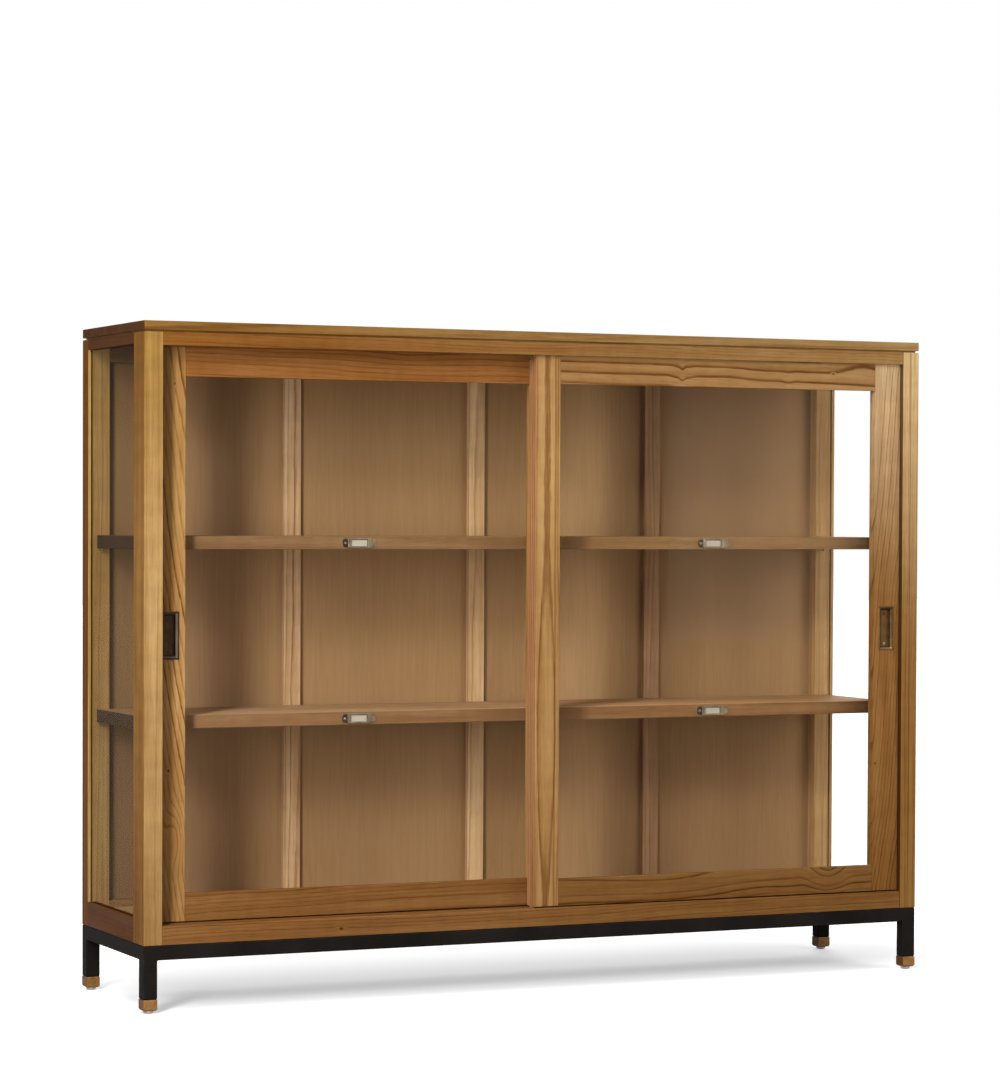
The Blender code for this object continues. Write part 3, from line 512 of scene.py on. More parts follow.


def metal(name, colour, worn, roughness, low, high, metallic, brushed=0.0, wear_reach=0.002,
          painted_highlight_and_shade_bands=()):
    """Metal with a dulled face, brighter worn arrises and fine marks.

    Each painted band, a painted highlight or painted shade, is an axis, a place along it, a half
    width, the Y behind which it shows and its colour.
    """
    graph = Graph(name)
    place = graph.place()
    blotch = graph.noise(place, *METAL_BLOTCH)
    speck = graph.noise(place, *METAL_GRIT)
    tone = graph.blend(graph.range(blotch, 0.35, 0.68), tinted(colour, METAL_DULL),
                       tinted(colour, METAL_BRIGHT))
    tone = graph.tint_where(tone, speck, 0.60, 0.80, 0.35, METAL_SPECK)
    rubbed = graph.range(graph.noise(place, *METAL_RUBBED), 0.35, 0.65)
    tone = graph.blend(graph.times(graph.edges(low, high, wear_reach), rubbed), tone, worn)
    # Painted highlights and painted shade in bands
    for letter, middle, half, start, painted_band_tone in painted_highlight_and_shade_bands:
        parts = graph.split(place)
        full, none = (half * share for share in PAINTED_BAND_EDGE)
        band = graph.near(parts["xyz".index(letter)], middle, full, none)
        behind = graph.range(parts[1], start, start + PAINTED_BAND_START)
        tone = graph.blend(graph.times(band, behind), tone, painted_band_tone)
    rough = graph.range(blotch, 0.25, 0.75, roughness - 0.07, roughness + 0.10)
    graph.surface(colour=tone, metallic=metallic, specular=METAL_GLOSS, roughness=rough)
    if brushed:
        graph.bump(graph.noise(place, *METAL_BRUSH), brushed)
    else:
        graph.bump(graph.plus(speck, blotch), METAL_BUMP)
    return graph.material


COAT_PEEL = (even(420.0), 2.0)
COAT_DUST = (even(8.0), 4.0, 0.6)
COAT_RUBBED = (even(30.0), 4.0)
COAT_DARK = (0.0090, 0.0078, 0.0067)
COAT_DUSTY = (0.0145, 0.0124, 0.0106)
COAT_WORN = (0.050, 0.046, 0.042)
COAT_WEAR = 0.004
COAT_GLOSS = 0.005
COAT_BUMP = 0.00010


def black_coat():
    """Satin black powder coat with a faint orange-peel surface."""
    graph = Graph("black_powder_coat")
    place = graph.place()
    peel = graph.noise(place, *COAT_PEEL)
    dust = graph.noise(place, *COAT_DUST)
    tone = graph.blend(graph.range(dust, 0.3, 0.7), COAT_DARK, COAT_DUSTY)
    rubbed = graph.range(graph.noise(place, *COAT_RUBBED), 0.45, 0.75)
    wear = graph.times(graph.edges(*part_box("base_frame"), COAT_WEAR), rubbed)
    tone = graph.blend(graph.times(wear, 0.5), tone, COAT_WORN)
    rough = graph.range(dust, 0.3, 0.7, 0.42, 0.56)
    graph.surface(colour=tone, roughness=rough, specular=COAT_GLOSS)
    graph.bump(peel, COAT_BUMP)
    return graph.material


CARD_LAP = 0.0015  # how far the holder's window is smaller than the card, on each side
CARD_FIBRE = ((700.0, 700.0, 1400.0), 3.0, 0.7)
CARD_SPOTS = (even(45.0), 3.0)
CARD_DARK = (0.36, 0.305, 0.222)
CARD_PALE = (0.425, 0.365, 0.275)
CARD_STAIN = (0.32, 0.26, 0.18)
CARD_SHADE = (0.085, 0.066, 0.042)
CARD_TOP_SHADE = (0.0016, 0.0009)  # below the window's top, where the shade starts and is full
CARD_END_SHADE = (0.0020, 0.0012)  # the same from the window's right end
CARD_BUMP = 0.00006


def card(name, low, high):
    """Blank cream card with soft fibres, shaded along the top and the right by the holder's lip."""
    graph = Graph(name)
    place = graph.place()
    fibre = graph.noise(place, *CARD_FIBRE)
    stain = graph.noise(place, *CARD_SPOTS)
    tone = graph.blend(graph.range(fibre, 0.3, 0.7), CARD_DARK, CARD_PALE)
    tone = graph.blend(graph.range(stain, 0.45, 0.75, 0.0, 0.3), tone, CARD_STAIN)
    x, _, z = graph.split(place)
    window_top = high.z - CARD_LAP
    window_end = high.x - CARD_LAP
    top = graph.range(z, *(window_top - below for below in CARD_TOP_SHADE))
    end = graph.range(x, *(window_end - before for before in CARD_END_SHADE))
    tone = graph.blend(graph.math("MAXIMUM", top, end), tone, CARD_SHADE)
    graph.surface(colour=tone, roughness=graph.range(fibre, 0.3, 0.7, 0.80, 0.92))
    graph.bump(fibre, CARD_BUMP)
    return graph.material


PLASTIC_SCUFF = ((160.0, 160.0, 40.0), 4.0, 0.65)
PLASTIC_PALE = (0.60, 0.57, 0.50)
PLASTIC_SCUFFED = (0.42, 0.39, 0.34)
PLASTIC_BUMP = 0.0001


def plastic():
    """Scuffed pale plastic of the glides."""
    graph = Graph("glide_plastic")
    scuff = graph.noise(graph.place(), *PLASTIC_SCUFF)
    tone = graph.blend(graph.range(scuff, 0.35, 0.7), PLASTIC_PALE, PLASTIC_SCUFFED)
    graph.surface(colour=tone, roughness=graph.range(scuff, 0.3, 0.7, 0.42, 0.62))
    graph.bump(scuff, PLASTIC_BUMP)
    return graph.material


def dress(node, material):
    """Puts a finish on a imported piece."""
    frame["nodes"][node].material_slots[0].material = material


ALL = 9.0  # a painted patch's or swell's reach that covers the board's whole length or width

# Places of the faces that have painted light or painted shade of their own
LEFT_FACE = -0.900
RIGHT_POST_INNER_FACE = 0.860
MEETING_STILE_LEFT_FACE = -0.030
SHELF_LEFT_FACE = -0.8797
SHELF_END_FRONT_FACE = -0.1387
SHELF_FRONT_FACE = -0.110

# What several boards share
UPRIGHT = {"heart": (0.12, 0.10), "tilt": 0.012}
RAIL_HEART = (0.08, 0.05)
FLAT_HEART = (0.10, 0.12)

# Painted shade on the shelves: at their right ends, on their left ends and end notch fronts, and on
# their front edges
SHELF_RIGHT_END_SHADE = (((0.875, -0.125), (0.13, 0.12), (0.22, 0.17, 0.14)),)
SHELF_LEFT_END_SHADE = (("x", SHELF_LEFT_FACE, even(0.22)), ("y", SHELF_END_FRONT_FACE, even(0.3)))
UPPER_EDGE_SHADE = (("y", SHELF_FRONT_FACE, (0.52, 0.51, 0.49)), *SHELF_LEFT_END_SHADE)
LOWER_EDGE_SHADE = (("y", SHELF_FRONT_FACE, (0.49, 0.415, 0.345)), *SHELF_LEFT_END_SHADE)
SHELF = {"heart": FLAT_HEART, "lines": 0.45, "painted_light_areas": SHELF_RIGHT_END_SHADE}

# Each board's colour, its directions and what sets its grain and its painted light apart from the
# usual
BOARDS = {
    # The top: painted light growing towards the right, and painted shade on its left edge
    "top_panel": ((0.204, 0.104, 0.027), FLAT_ACROSS, {
        "heart": (0.10, 0.13), "slant": 0.02, "lines": 0.6, "wave": 0.004,
        "fade": (1.62, 1.96, 3.0),
        "painted_face_shading": (("x", LEFT_FACE, (0.32, 0.215, 0.17)),)}),
    # Left post: painted shade at its top and foot, painted light in its middle, painted shade on its
    # left face
    "front_left_post": ((0.388, 0.242, 0.100), UP_FRONT, {
        "heart": (0.16, 0.10), "tilt": 0.008, "ring": 0.012, "lines": 0.30, "wave": 0.003,
        "figure": 0.06,
        "painted_light_areas": (((0.60, 0.0), (0.40, ALL), (0.78, 0.74, 0.54)),
                    ((0.10, 0.0), (0.50, ALL), (1.10, 1.14, 1.16)),
                    ((-0.62, 0.0), (0.28, ALL), (0.75, 0.68, 0.58))),
        "painted_face_shading": (("x", LEFT_FACE, (0.62, 0.48, 0.28)),)}),
    # Right post: painted shade on its inner face and a painted sheen growing towards its top
    "front_right_post": ((0.266, 0.136, 0.039), UP_FRONT, {
        "heart": (0.12, 0.10), "tilt": 0.010, "lines": 0.4, "wave": 0.003,
        "stripes": ((0.0, 0.0014, 0.8),),
        "painted_face_shading": (("x", RIGHT_POST_INNER_FACE, (0.25, 0.2, 0.16)),),
        "painted_light_areas": (((0.62, 0.0), (0.75, ALL), (2.15, 2.95, 5.2)),)}),
    # Rear left post: painted shade on its left face
    "rear_left_post": ((0.41, 0.26, 0.10), UP_FRONT, {
        **UPRIGHT, "lines": 0.45, "painted_face_shading": (("x", LEFT_FACE, (0.31, 0.170, 0.030)),)}),
    "rear_right_post": ((0.467, 0.294, 0.131), UP_FRONT, {**UPRIGHT, "lines": 0.4}),
    # Head rail: painted light growing towards the right
    "front_top_rail": ((0.200, 0.082, 0.018), ALONG_FRONT, {
        "heart": RAIL_HEART, "slant": 0.012, "ring": 0.007, "lines": 0.65, "wave": 0.010,
        "fade": (1.57, 2.17, 3.6)}),
    # Sill: painted shade towards its right end
    "front_sill": ((0.229, 0.105, 0.035), ALONG_FRONT, {
        "heart": (0.08, 0.04), "slant": -0.012, "ring": 0.007, "lines": 0.85, "wave": 0.008,
        "fade": (0.90, 0.95, 0.85), "knots": (((-0.473, -0.003), 0.0035),)}),
    # Painted shade makes the left side rails far darker than the right ones
    "left_top_rail": ((0.070, 0.0235, 0.0040), ALONG_SIDE, {"lines": 0.6}),
    "left_bottom_rail": ((0.089, 0.031, 0.0052), ALONG_SIDE, {"lines": 0.6, "wave": 0.010}),
    "right_top_rail": ((0.220, 0.100, 0.040), ALONG_SIDE, {"lines": 0.6}),
    "right_bottom_rail": ((0.220, 0.100, 0.040), ALONG_SIDE, {"lines": 0.6}),
    # Painted shade makes the rear top rail about half as bright as the rear bottom rail
    "rear_top_rail": ((0.150, 0.080, 0.033), ALONG_FRONT, {"lines": 0.5}),
    "rear_bottom_rail": ((0.300, 0.170, 0.075), ALONG_FRONT, {"lines": 0.5}),
    "left_batten": ((0.607, 0.417, 0.244), UP_FRONT, {
        "heart": (0.02, 0.05), "tilt": 0.006, "ring": 0.007, "lines": 0.8, "faintest": 0.3,
        "wave": 0.004}),
    "middle_batten": ((0.638, 0.443, 0.246), UP_FRONT, {
        "heart": (0.01, 0.05), "tilt": 0.006, "ring": 0.008, "lines": 0.8, "faintest": 0.3,
        "wave": 0.004}),
    "right_batten": ((0.466, 0.292, 0.162), UP_FRONT, {
        "heart": (0.10, 0.08), "tilt": 0.012, "lines": 0.5}),
    "floor_board": ((0.524, 0.360, 0.177), FLAT_ACROSS, {"heart": FLAT_HEART, "lines": 0.6}),
    # Upper shelf: paler towards the right as painted light
    "upper_shelf": ((0.403, 0.233, 0.117), FLAT_ACROSS, {
        **SHELF, "fade": (1.25, 1.25, 1.05), "painted_face_shading": UPPER_EDGE_SHADE}),
    # Lower shelf: less green and blue towards the right as painted shade
    "lower_shelf": ((0.479, 0.310, 0.180), FLAT_ACROSS, {
        **SHELF, "fade": (1.04, 0.98, 0.82), "painted_face_shading": LOWER_EDGE_SHADE}),
    # Left outer stile: painted light in two bands along it, and the post's painted shadow along its
    # left edge
    "left_door_outer_stile": ((0.363, 0.204, 0.074), UP_FRONT, {
        "heart": (0.30, 0.60), "tilt": 0.0, "slant": 0.17, "ring": 0.0056, "lines": 1.2,
        "wave": 0.0042, "faintest": 0.4,
        "knots": (((0.510, 0.0085), 0.0022), ((-0.275, -0.004), 0.0025)),
        "swells": (((-0.410, 0.012), (0.09, 0.030), 0.012),),
        "painted_light_areas": (((0.24, 0.0), (0.13, ALL), (1.05, 1.10, 1.10)),
                    ((-0.14, 0.0), (0.16, ALL), (1.20, 1.28, 1.40)),
                    ((0.0, -0.021), (ALL, 0.020), (0.68, 0.59, 0.53)))}),
    "left_door_meeting_stile": ((0.374, 0.208, 0.079), UP_FRONT, {
        "heart": (0.10, 0.06), "lines": 0.6}),
    # Left door's top rail: painted light growing towards the right
    "left_door_top_rail": ((0.258, 0.106, 0.029), ALONG_FRONT, {
        "heart": RAIL_HEART, "slant": 0.035, "ring": 0.009, "lines": 0.8, "wave": 0.012,
        "fade": (1.13, 1.18, 1.22)}),
    "left_door_bottom_rail": ((0.231, 0.109, 0.035), ALONG_FRONT, {
        "heart": RAIL_HEART, "slant": -0.012, "ring": 0.008, "lines": 0.75, "wave": 0.008}),
    # Right outer stile: a painted sheen growing towards its top and painted shade towards its foot
    "right_door_outer_stile": ((0.268, 0.132, 0.040), UP_FRONT, {
        "heart": (0.09, 0.04), "slant": -0.10, "ring": 0.0075, "lines": 0.85, "wave": 0.010,
        "knots": (((-0.300, -0.026), 0.002),),
        "painted_light_areas": (((0.60, 0.0), (0.60, ALL), (2.1, 3.0, 5.6)),
                    ((-0.60, 0.0), (0.25, ALL), (0.78, 0.72, 0.60)))}),
    # Meeting stile: painted light in a band along it and on its left face
    "right_door_meeting_stile": ((0.385, 0.220, 0.086), UP_FRONT, {
        "heart": (-0.002, 0.05215), "tilt": 0.0, "ring": 0.0085, "lines": 0.8, "faintest": 0.75,
        "wave": 0.0006,
        "swells": (((-0.203, 0.0), (0.41, ALL), -0.006),),
        "stripes": ((0.0170, 0.0030, 0.5),),
        "painted_light_areas": (((0.31, 0.0), (0.22, ALL), (1.14, 1.20, 1.20)),),
        "painted_face_shading": (("x", MEETING_STILE_LEFT_FACE, (1.05, 0.95, 1.15)),)}),
    # Right door's top rail: a painted sheen at its right end
    "right_door_top_rail": ((0.338, 0.189, 0.074), ALONG_FRONT, {
        "heart": (0.0704, 0.03), "tilt": 0.0, "slant": 0.02, "ring": 0.022, "lines": 1.1,
        "faintest": 0.8, "wave": 0.003,
        "knots": (((0.2775, 0.002), 0.0018),),
        "swells": (((-0.0955, -0.012), (0.040, 0.05), -0.005),
                   ((-0.0955, -0.012), (0.012, 0.05), -0.005),
                   ((0.02, -0.006), (0.10, 0.03), 0.004),
                   ((0.1645, -0.012), (0.022, 0.03), -0.003),
                   ((0.36, 0.03), (0.13, 0.05), 0.020)),
        "painted_light_areas": (((0.33, 0.0), (0.13, ALL), (1.08, 1.14, 1.25)),)}),
    "right_door_bottom_rail": ((0.208, 0.103, 0.032), ALONG_FRONT, {
        "heart": RAIL_HEART, "slant": -0.022, "ring": 0.014, "lines": 1.0, "wave": 0.014,
        "swells": (((0.272, 0.030), (0.075, 0.085), -0.032),)}),
}

# The brass tips' metal, their worn edges and the painted shade on their left faces, and the shelf
# pins' brass
FERRULE_BRASS = (0.26, 0.128, 0.042)
FERRULE_WORN = (0.38, 0.22, 0.095)
FERRULE_LEFT_SHADE = (0.096, 0.030, 0.003)
FERRULE_SIDE_DEPTH = 0.0006
FERRULE_BRUSH = 0.00012
PIN_BRASS = (0.34, 0.22, 0.10)
PIN_WORN = (0.5, 0.36, 0.18)
ANYWHERE = -9.0  # a painted band's start that lies in front of everything


def ferrule_brass(node):
    """Brushed brass with painted shade on its left face."""
    low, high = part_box(node)
    # A band of painted shade on the tip's left face
    side = ("x", low.x, FERRULE_SIDE_DEPTH, ANYWHERE, FERRULE_LEFT_SHADE)
    return metal(node + "_brass", FERRULE_BRASS, FERRULE_WORN, 0.42, low, high, metallic=0.12,
                 brushed=FERRULE_BRUSH, painted_highlight_and_shade_bands=(side,))


def dress_frame():
    """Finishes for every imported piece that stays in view."""
    for node, (colour, order, grain) in BOARDS.items():
        dress(node, wood(node + "_wood", *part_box(node), colour, order, **grain))
    dress("back_panel", veneer("back_panel_veneer", VENEER_COLOUR, *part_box("back_panel")))
    glass = clear_glass("pane_glass", WHITE)
    for node in ("right_side_glass", "left_door_glass", "right_door_glass"):
        dress(node, glass)
    dress("left_side_glass", clear_glass("left_pane_glass", PANE_DIM))
    dress("base_frame", black_coat())
    soft = plastic()
    for side in ("left", "right"):
        for end in ("front", "rear"):
            corner = end + "_" + side
            dress(corner + "_ferrule", ferrule_brass(corner + "_ferrule"))
            dress(corner + "_glide", soft)
        for level in ("upper", "lower"):
            sheet = level + "_" + side + "_label_card"
            dress(sheet, card(sheet + "_paper", *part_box(sheet)))
            for end in ("front", "rear"):
                pin = "_".join((level, "shelf", end, side, "pin"))
                brass = metal(pin + "_brass", PIN_BRASS, PIN_WORN, 0.44, *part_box(pin), metallic=0.5)
                dress(pin, brass)


CORNER_STEPS = 5


def rounded_loop(shape, centre, half_width, half_height, radius, y):
    """A ring of points round a rounded rectangle that faces the front, at the given Y."""
    points = []
    for quarter, (side, up) in enumerate(((1, 1), (-1, 1), (-1, -1), (1, -1))):
        for step in range(CORNER_STEPS + 1):
            angle = math.radians(90) * (quarter + step / CORNER_STEPS)
            x = centre.x + side * (half_width - radius) + radius * math.cos(angle)
            z = centre.z + up * (half_height - radius) + radius * math.sin(angle)
            points.append(shape.verts.new((x, y, z)))
    return points


def bridge(shape, first, second):
    """Faces between two rings of points."""
    for index, point in enumerate(first):
        after = (index + 1) % len(first)
        shape.faces.new((point, first[after], second[after], second[index]))


def bridge_all(shape, rings, close_ends=True):
    """Faces between rings in turn, and over the first and the last one."""
    for first, second in zip(rings, rings[1:]):
        bridge(shape, first, second)
    if close_ends:
        shape.faces.new(rings[0])
        shape.faces.new(list(reversed(rings[-1])))


def loft(shape, centre, sections):
    """A ring for each section: half width, half height, corner radius and Y."""
    return [rounded_loop(shape, centre, *section) for section in sections]


# Pull: the bevel runs from the flange's inner edge to the well
PULL_RIM = 0.0034
PULL_FLANGE = 0.0014
PULL_LAP = 0.0022
PULL_LIP = 0.0005
PULL_BEVEL = 0.0041
PULL_WELL_DEPTH = 0.0106
PULL_WELL_TAPER = 0.0010
PULL_WEAR = 0.0010
PULL_CORNER = 0.0012  # corner radius of the part in the door and of the front's outer edge
PULL_FLANGE_CORNER = 0.0014
SCREW_RADIUS = 0.0030
SCREW_HEIGHT = 0.0010
SCREW_FROM_END = 0.0155
SCREW_TURN = 25

# Each pull's metal, its worn edges and its two screws
# Painted shade makes the left pull, its screws and the right pull's upper screw darker
PULL_METALS = {
    "left": ((0.042, 0.023, 0.0115), (0.16, 0.11, 0.08),
             (0.042, 0.026, 0.014), (0.042, 0.026, 0.014)),
    "right": ((0.074, 0.039, 0.0135), (0.22, 0.14, 0.07),
              (0.065, 0.034, 0.013), (0.28, 0.21, 0.12)),
}

# Painted highlights on the bevels: axis, side and colour
PULL_PAINTED_HIGHLIGHTS = {
    "left": (("x", 1, (0.135, 0.098, 0.078)), ("z", -1, (0.085, 0.056, 0.042))),
    "right": (("z", -1, (0.22, 0.15, 0.08)),),
}
SCREW_WORN = even(1.5)


def pull(side):
    """The bevelled cup, with soft lips where the bevel meets flange and well, and two screws."""
    node = side + "_door_pull"
    body = side + "_door"
    low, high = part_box(node)
    centre = (low + high) / 2
    half_w = (high.x - low.x) / 2
    half_h = (high.z - low.z) / 2
    front = low.y
    lip = PULL_LIP
    rim_w = half_w - PULL_RIM
    rim_h = half_h - PULL_RIM
    well_w = rim_w - PULL_BEVEL
    well_h = rim_h - PULL_BEVEL
    floor_w = well_w - PULL_WELL_TAPER
    floor_h = well_h - PULL_WELL_TAPER
    floor_y = front + PULL_WELL_DEPTH
    sections = (
        (half_w - PULL_LAP, half_h - PULL_LAP, PULL_CORNER, high.y),
        (half_w - PULL_LAP, half_h - PULL_LAP, PULL_CORNER, front + PULL_FLANGE),
        (half_w, half_h, PULL_FLANGE_CORNER, front + PULL_FLANGE),
        (half_w, half_h, PULL_FLANGE_CORNER, front + lip / 2),
        (half_w - lip / 2, half_h - lip / 2, PULL_CORNER, front),
        (rim_w + lip, rim_h + lip, 0.0010, front),
        (rim_w, rim_h, 0.0009, front + lip / 2),
        (well_w + lip, well_h + lip, 0.0008, front + PULL_BEVEL - lip / 2),
        (well_w, well_h, 0.0007, front + PULL_BEVEL + lip),
        (floor_w, floor_h, 0.0006, floor_y - lip),
        (floor_w - lip, floor_h - lip, 0.0005, floor_y),
    )
    colour, worn, *screws = PULL_METALS[side]
    shape = bmesh.new()
    bridge_all(shape, loft(shape, centre, sections))
    bevels = {"x": (centre.x, rim_w - PULL_BEVEL / 2), "z": (centre.z, rim_h - PULL_BEVEL / 2)}
    # Painted highlights on the bevels that face the light
    painted_highlight_and_shade_bands = []
    for letter, way, tone in PULL_PAINTED_HIGHLIGHTS[side]:
        middle, out = bevels[letter]
        painted_highlight_and_shade_bands.append((letter, middle + way * out, PULL_BEVEL / 2, front + lip, tone))
    bronze = metal(side + "_pull_bronze", colour, worn, 0.40, low, high, metallic=0.7,
                   wear_reach=PULL_WEAR, painted_highlight_and_shade_bands=painted_highlight_and_shade_bands)
    cup = smooth_mesh(side + "_pull_cup", shape, body, bronze, angle=25)
    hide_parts(node)
    for (label, sign), tone in zip((("upper", 1), ("lower", -1)), screws):
        name = side + "_pull_" + label + "_screw"
        brass = metal(name + "_metal", tone, tinted(tone, SCREW_WORN), 0.36, low, high,
                      metallic=0.7)
        place = Vector((centre.x, floor_y, centre.z + sign * (half_h - SCREW_FROM_END)))
        screw(name, place, SCREW_RADIUS, SCREW_HEIGHT, body, brass,
              SCREW_TURN * sign)


SCREW_SIDES = 28
SCREW_DOME_STEPS = 5
SLOT_HALF = 0.16  # the slot's half width, as a share of the head's radius
SLOT_FROM = 0.3  # the slot's end and its depth, as shares of the head's height
SLOT_DEPTH = 0.45


def screw(name, place, radius, height, body, material, turn):
    """A domed slotted head that faces the front."""
    shape = bmesh.new()
    rings = []
    for step in range(SCREW_DOME_STEPS):
        rise = math.radians(90) * step / SCREW_DOME_STEPS
        reach = radius * math.cos(rise)
        y = -height * math.sin(rise)
        ring = []
        for index in range(SCREW_SIDES):
            angle = 2 * math.pi * index / SCREW_SIDES
            ring.append(shape.verts.new((reach * math.cos(angle), y, reach * math.sin(angle))))
        rings.append(ring)
    bridge_all(shape, rings, close_ends=False)
    crown = shape.verts.new((0.0, -height, 0.0))
    for index, point in enumerate(rings[-1]):
        shape.faces.new((point, rings[-1][(index + 1) % SCREW_SIDES], crown))
    shape.faces.new(list(reversed(rings[0])))
    turn = math.radians(turn)
    for point in shape.verts:
        across = point.co.x * math.cos(turn) + point.co.z * math.sin(turn)
        if abs(across) < radius * SLOT_HALF and point.co.y < -height * SLOT_FROM:
            point.co.y += height * SLOT_DEPTH
    bmesh.ops.translate(shape, verts=shape.verts, vec=place)
    return smooth_mesh(name, shape, body, material, angle=50)


EAR_STEPS = 10
EAR_LENGTH = 0.0115
EAR_HALF_HEIGHT = 0.0088
EAR_ROUND = 0.0058
EAR_THICK = 0.0016
EAR_LAP = 0.001  # how far an ear runs into the frame
EAR_BEVEL = 0.0004
EAR_BEVEL_FROM = 0.7  # where the bevel starts, as a share of the thickness
EAR_SCREW_OUT = 0.0058
EAR_SCREW_RADIUS = 0.0024
EAR_SCREW_HEIGHT = 0.0009
EAR_SCREW_TURN = 40
HOLDER_BRASS = (0.160, 0.128, 0.082)
HOLDER_WORN = (0.46, 0.39, 0.29)
HOLDER_WEAR = 0.0012
# The ears and their screws are coloured differently left and right, as painted light and painted
# shade
EAR_BRASS = {"left": (0.045, 0.032, 0.022), "right": (0.175, 0.112, 0.065)}
EAR_WORN = (0.20, 0.15, 0.10)
EAR_SCREW_BRASS = {"left": (0.26, 0.22, 0.17), "right": (0.20, 0.13, 0.08)}
EAR_SCREW_WORN = (0.30, 0.25, 0.18)

# A label holder's section: how far each ring lies inside the outer edge, or outside the window,
# its corner radius and how far it lies behind the front
BORDER_OUTER = ((0.0, 0.0020, 0.0012), (0.0003, 0.0020, 0.0005), (0.0011, 0.0016, 0.0))
BORDER_INNER = ((0.0014, 0.0012, 0.0), (0.0006, 0.0009, 0.0004), (0.0, 0.0006, 0.0013))
BORDER_CORNER = 0.0020
WINDOW_CORNER = 0.0006
CARD_SLOT = 0.0017  # how far the slot for the card reaches beyond the window
CARD_SLOT_DEPTH = 0.0013


def label_holder(level, side):
    """A cast frame with a rounded border and a screwed ear at each end."""
    node = level + "_" + side + "_label_holder"
    low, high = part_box(node)
    centre = (low + high) / 2
    card_low, card_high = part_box(level + "_" + side + "_label_card")
    back = high.y
    front = low.y
    outer = (high.x - low.x) / 2
    body_w = outer - EAR_LENGTH
    body_h = (high.z - low.z) / 2
    window_w = (card_high.x - card_low.x) / 2 - CARD_LAP
    window_h = (card_high.z - card_low.z) / 2 - CARD_LAP
    deep = back - CARD_SLOT_DEPTH
    sections = [(body_w, body_h, BORDER_CORNER, back)]
    for inset, radius, depth in BORDER_OUTER:
        sections.append((body_w - inset, body_h - inset, radius, front + depth))
    for beyond, radius, depth in BORDER_INNER:
        sections.append((window_w + beyond, window_h + beyond, radius, front + depth))
    sections.append((window_w, window_h, WINDOW_CORNER, deep))
    for y in (deep, back):
        sections.append((window_w + CARD_SLOT, window_h + CARD_SLOT, WINDOW_CORNER, y))
    shape = bmesh.new()
    rings = loft(shape, centre, sections)
    bridge_all(shape, rings, close_ends=False)
    bridge(shape, rings[-1], rings[0])
    prefix = level + "_" + side + "_holder_"
    brass = metal(node + "_brass", HOLDER_BRASS, HOLDER_WORN, 0.42, low, high, metallic=0.7,
                  wear_reach=HOLDER_WEAR)
    border = smooth_mesh(prefix + "frame", shape, "carcass", brass, angle=40)
    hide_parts(node)
    for end, sign in (("left", -1), ("right", 1)):
        ear_brass = metal(prefix + end + "_ear_brass", EAR_BRASS[end], EAR_WORN, 0.45, low, high,
                          metallic=0.7)
        ear(prefix + end + "_ear", centre, sign, body_w, outer, back, ear_brass)
        screw_brass = metal(prefix + end + "_screw_brass", EAR_SCREW_BRASS[end], EAR_SCREW_WORN,
                            0.4, low, high, metallic=0.7)
        place = Vector((centre.x + sign * (body_w + EAR_SCREW_OUT), back - EAR_THICK, centre.z))
        screw(prefix + end + "_screw", place, EAR_SCREW_RADIUS, EAR_SCREW_HEIGHT, "carcass",
              screw_brass, EAR_SCREW_TURN * sign)


def ear(name, centre, sign, inner, outer, back, material):
    """A thin rounded lug at one end of a label holder."""
    shape = bmesh.new()
    half = EAR_HALF_HEIGHT
    outline = [(inner - EAR_LAP, half), (outer - EAR_ROUND, half)]
    for step in range(1, EAR_STEPS):
        angle = math.radians(90) * (1 - step / EAR_STEPS)
        reach = outer - EAR_ROUND * (1 - math.cos(angle))
        outline.append((reach, half - EAR_ROUND * (1 - math.sin(angle))))
    outline.append((outer, half - EAR_ROUND))
    outline += [(reach, -rise) for reach, rise in reversed(outline)]
    bevel_start = back - EAR_THICK * EAR_BEVEL_FROM
    layers = []
    for y, inset in ((back, 0.0), (bevel_start, 0.0), (back - EAR_THICK, EAR_BEVEL)):
        layer = []
        for reach, rise in outline:
            x = centre.x + sign * (reach - inset if reach > inner else reach)
            z = centre.z + (rise - math.copysign(inset, rise))
            layer.append(shape.verts.new((x, y, z)))
        layers.append(layer)
    bridge_all(shape, layers)
    return smooth_mesh(name, shape, "carcass", material, angle=40)


def camera():
    """The photograph's viewpoint."""
    yaw = math.radians(CAMERA_YAW)
    pitch = math.radians(CAMERA_PITCH)
    roll = math.radians(CAMERA_ROLL)
    level = math.cos(pitch)
    right = Vector((math.cos(yaw), -math.sin(yaw), 0.0))
    ahead = Vector((math.sin(yaw) * level, math.cos(yaw) * level, -math.sin(pitch)))
    down = ahead.cross(right)
    rolled_right = math.cos(roll) * right + math.sin(roll) * down
    rolled_down = -math.sin(roll) * right + math.cos(roll) * down
    lens = bpy.data.cameras.new("camera")
    lens.sensor_width = SENSOR
    lens.lens = LENS
    lens.shift_x = SHIFT_X
    lens.shift_y = SHIFT_Y
    lens.clip_end = CAMERA_SIGHT
    viewer = bpy.data.objects.new("camera", lens)
    turn = Matrix((rolled_right, -rolled_down, -ahead)).transposed()
    viewer.matrix_world = Matrix.Translation(CAMERA_PLACE) @ turn.to_4x4()
    bpy.context.scene.collection.objects.link(viewer)
    bpy.context.scene.camera = viewer


def seen_directly(nodes, links):
    """1 for rays from the camera, from a mirror or through glass, else 0."""
    path = nodes.new("ShaderNodeLightPath")
    total = path.outputs["Is Camera Ray"]
    for name in ("Is Glossy Ray", "Is Transmission Ray"):
        larger = nodes.new("ShaderNodeMath")
        larger.operation = "MAXIMUM"
        links.new(total, larger.inputs[0])
        links.new(path.outputs[name], larger.inputs[1])
        total = larger.outputs[0]
    return total


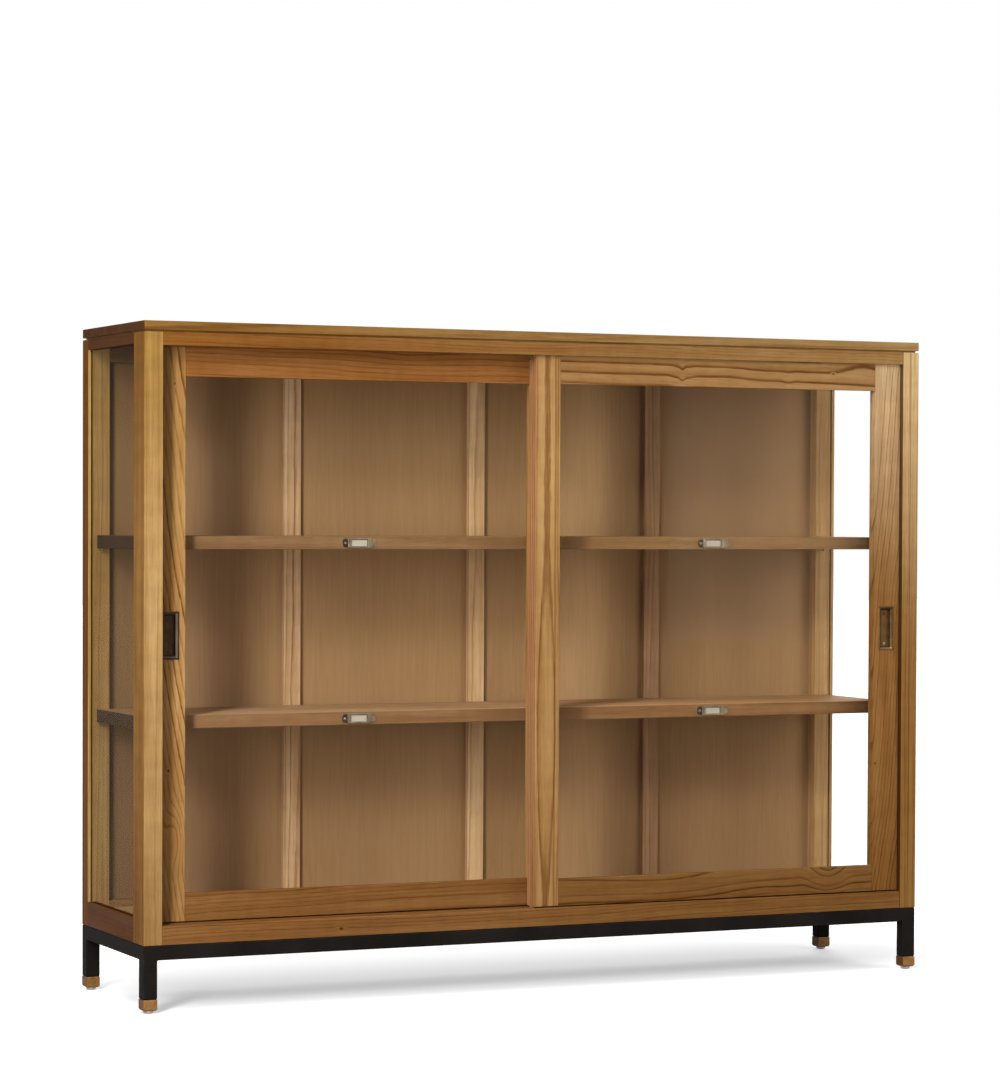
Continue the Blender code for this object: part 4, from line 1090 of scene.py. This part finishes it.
def world():
    """White where it is looked at, and a plain soft light elsewhere."""
    made = bpy.data.worlds.new("studio")
    bpy.context.scene.world = made
    made.use_nodes = True
    nodes = made.node_tree.nodes
    links = made.node_tree.links
    background = nodes["Background"]
    looked_at = seen_directly(nodes, links)
    colour = nodes.new("ShaderNodeMix")
    colour.data_type = "RGBA"
    links.new(looked_at, colour.inputs[0])
    colour.inputs[6].default_value = (*WORLD_COLOUR, 1.0)
    colour.inputs[7].default_value = (*WHITE, 1.0)
    links.new(colour.outputs[2], background.inputs["Color"])
    strength = nodes.new("ShaderNodeMapRange")
    links.new(looked_at, strength.inputs["Value"])
    strength.inputs["To Min"].default_value = WORLD_LIGHT
    strength.inputs["To Max"].default_value = 1.0
    links.new(strength.outputs["Result"], background.inputs["Strength"])


def sun(name, azimuth, height, power, size):
    """A far lamp, placed by degrees to the left of the front and degrees up."""
    lamp = bpy.data.lights.new(name, "SUN")
    lamp.energy = power
    lamp.angle = math.radians(size)
    lamp.color = LAMP_COLOUR
    side = math.radians(azimuth)
    rise = math.radians(height)
    level = math.cos(rise)
    source = Vector((-math.sin(side) * level, -math.cos(side) * level, math.sin(rise)))
    piece = bpy.data.objects.new(name, lamp)
    piece.rotation_euler = source.to_track_quat("Z", "Y").to_euler()
    bpy.context.scene.collection.objects.link(piece)


def light_box(name, place, width, height, power):
    """An upright lamp that faces the cabinet, near enough for soft shadows behind the stiles."""
    lamp = bpy.data.lights.new(name, "AREA")
    lamp.shape = "RECTANGLE"
    lamp.size = width
    lamp.size_y = height
    lamp.energy = power
    lamp.color = LAMP_COLOUR
    piece = bpy.data.objects.new(name, lamp)
    turn = Vector((place[0], place[1], 0.0)).to_track_quat("Z", "Y").to_matrix()
    piece.matrix_world = Matrix.Translation(place) @ turn.to_4x4()
    bpy.context.scene.collection.objects.link(piece)


def floor():
    """A pale floor whose lit part is white in the picture and which keeps the cabinet's shadow,
    lightened behind the cabinet by painted light.
    """
    half = FLOOR_SIZE / 2
    shape = bmesh.new()
    corners = ((-half, -half), (half, -half), (half, half), (-half, half))
    shape.faces.new([shape.verts.new((x, y, 0.0)) for x, y in corners])
    mesh = bpy.data.meshes.new("floor")
    shape.to_mesh(mesh)
    shape.free()
    graph = Graph("pale_floor")
    looked_at = seen_directly(graph.tree.nodes, graph.tree.links)
    colour = graph.blend(looked_at, FLOOR_BOUNCE, FLOOR_COLOUR)
    graph.surface(colour=colour, roughness=1.0, specular=0.0)
    glow = graph.node("Emission")
    _, y, _ = graph.split(graph.place())
    # More glow behind the cabinet: painted light that lightens its shadow there
    rising = graph.range(y, *FLOOR_GLOW_RISE, FLOOR_GLOW, FLOOR_GLOW_BEHIND)
    graph.put(glow.inputs["Color"], FLOOR_GLOW_COLOUR)
    graph.put(glow.inputs["Strength"], graph.times(looked_at, rising))
    both = graph.node("AddShader")
    graph.put(both.inputs[0], graph.shader.outputs[0])
    graph.put(both.inputs[1], glow.outputs[0])
    graph.put(graph.output.inputs["Surface"], both.outputs[0])
    mesh.materials.append(graph.material)
    piece = bpy.data.objects.new("floor", mesh)
    bpy.context.scene.collection.objects.link(piece)


camera()
world()
for lamp_name, lamp_values in SUNS.items():
    sun(lamp_name, *lamp_values)
for box_name, box_values in BOXES.items():
    light_box(box_name, *box_values)
floor()
dress_frame()
for door_side in ("left", "right"):
    pull(door_side)
for shelf_level in ("upper", "lower"):
    for holder_side in ("left", "right"):
        label_holder(shelf_level, holder_side)
bpy.context.scene.view_settings.view_transform = "Standard"
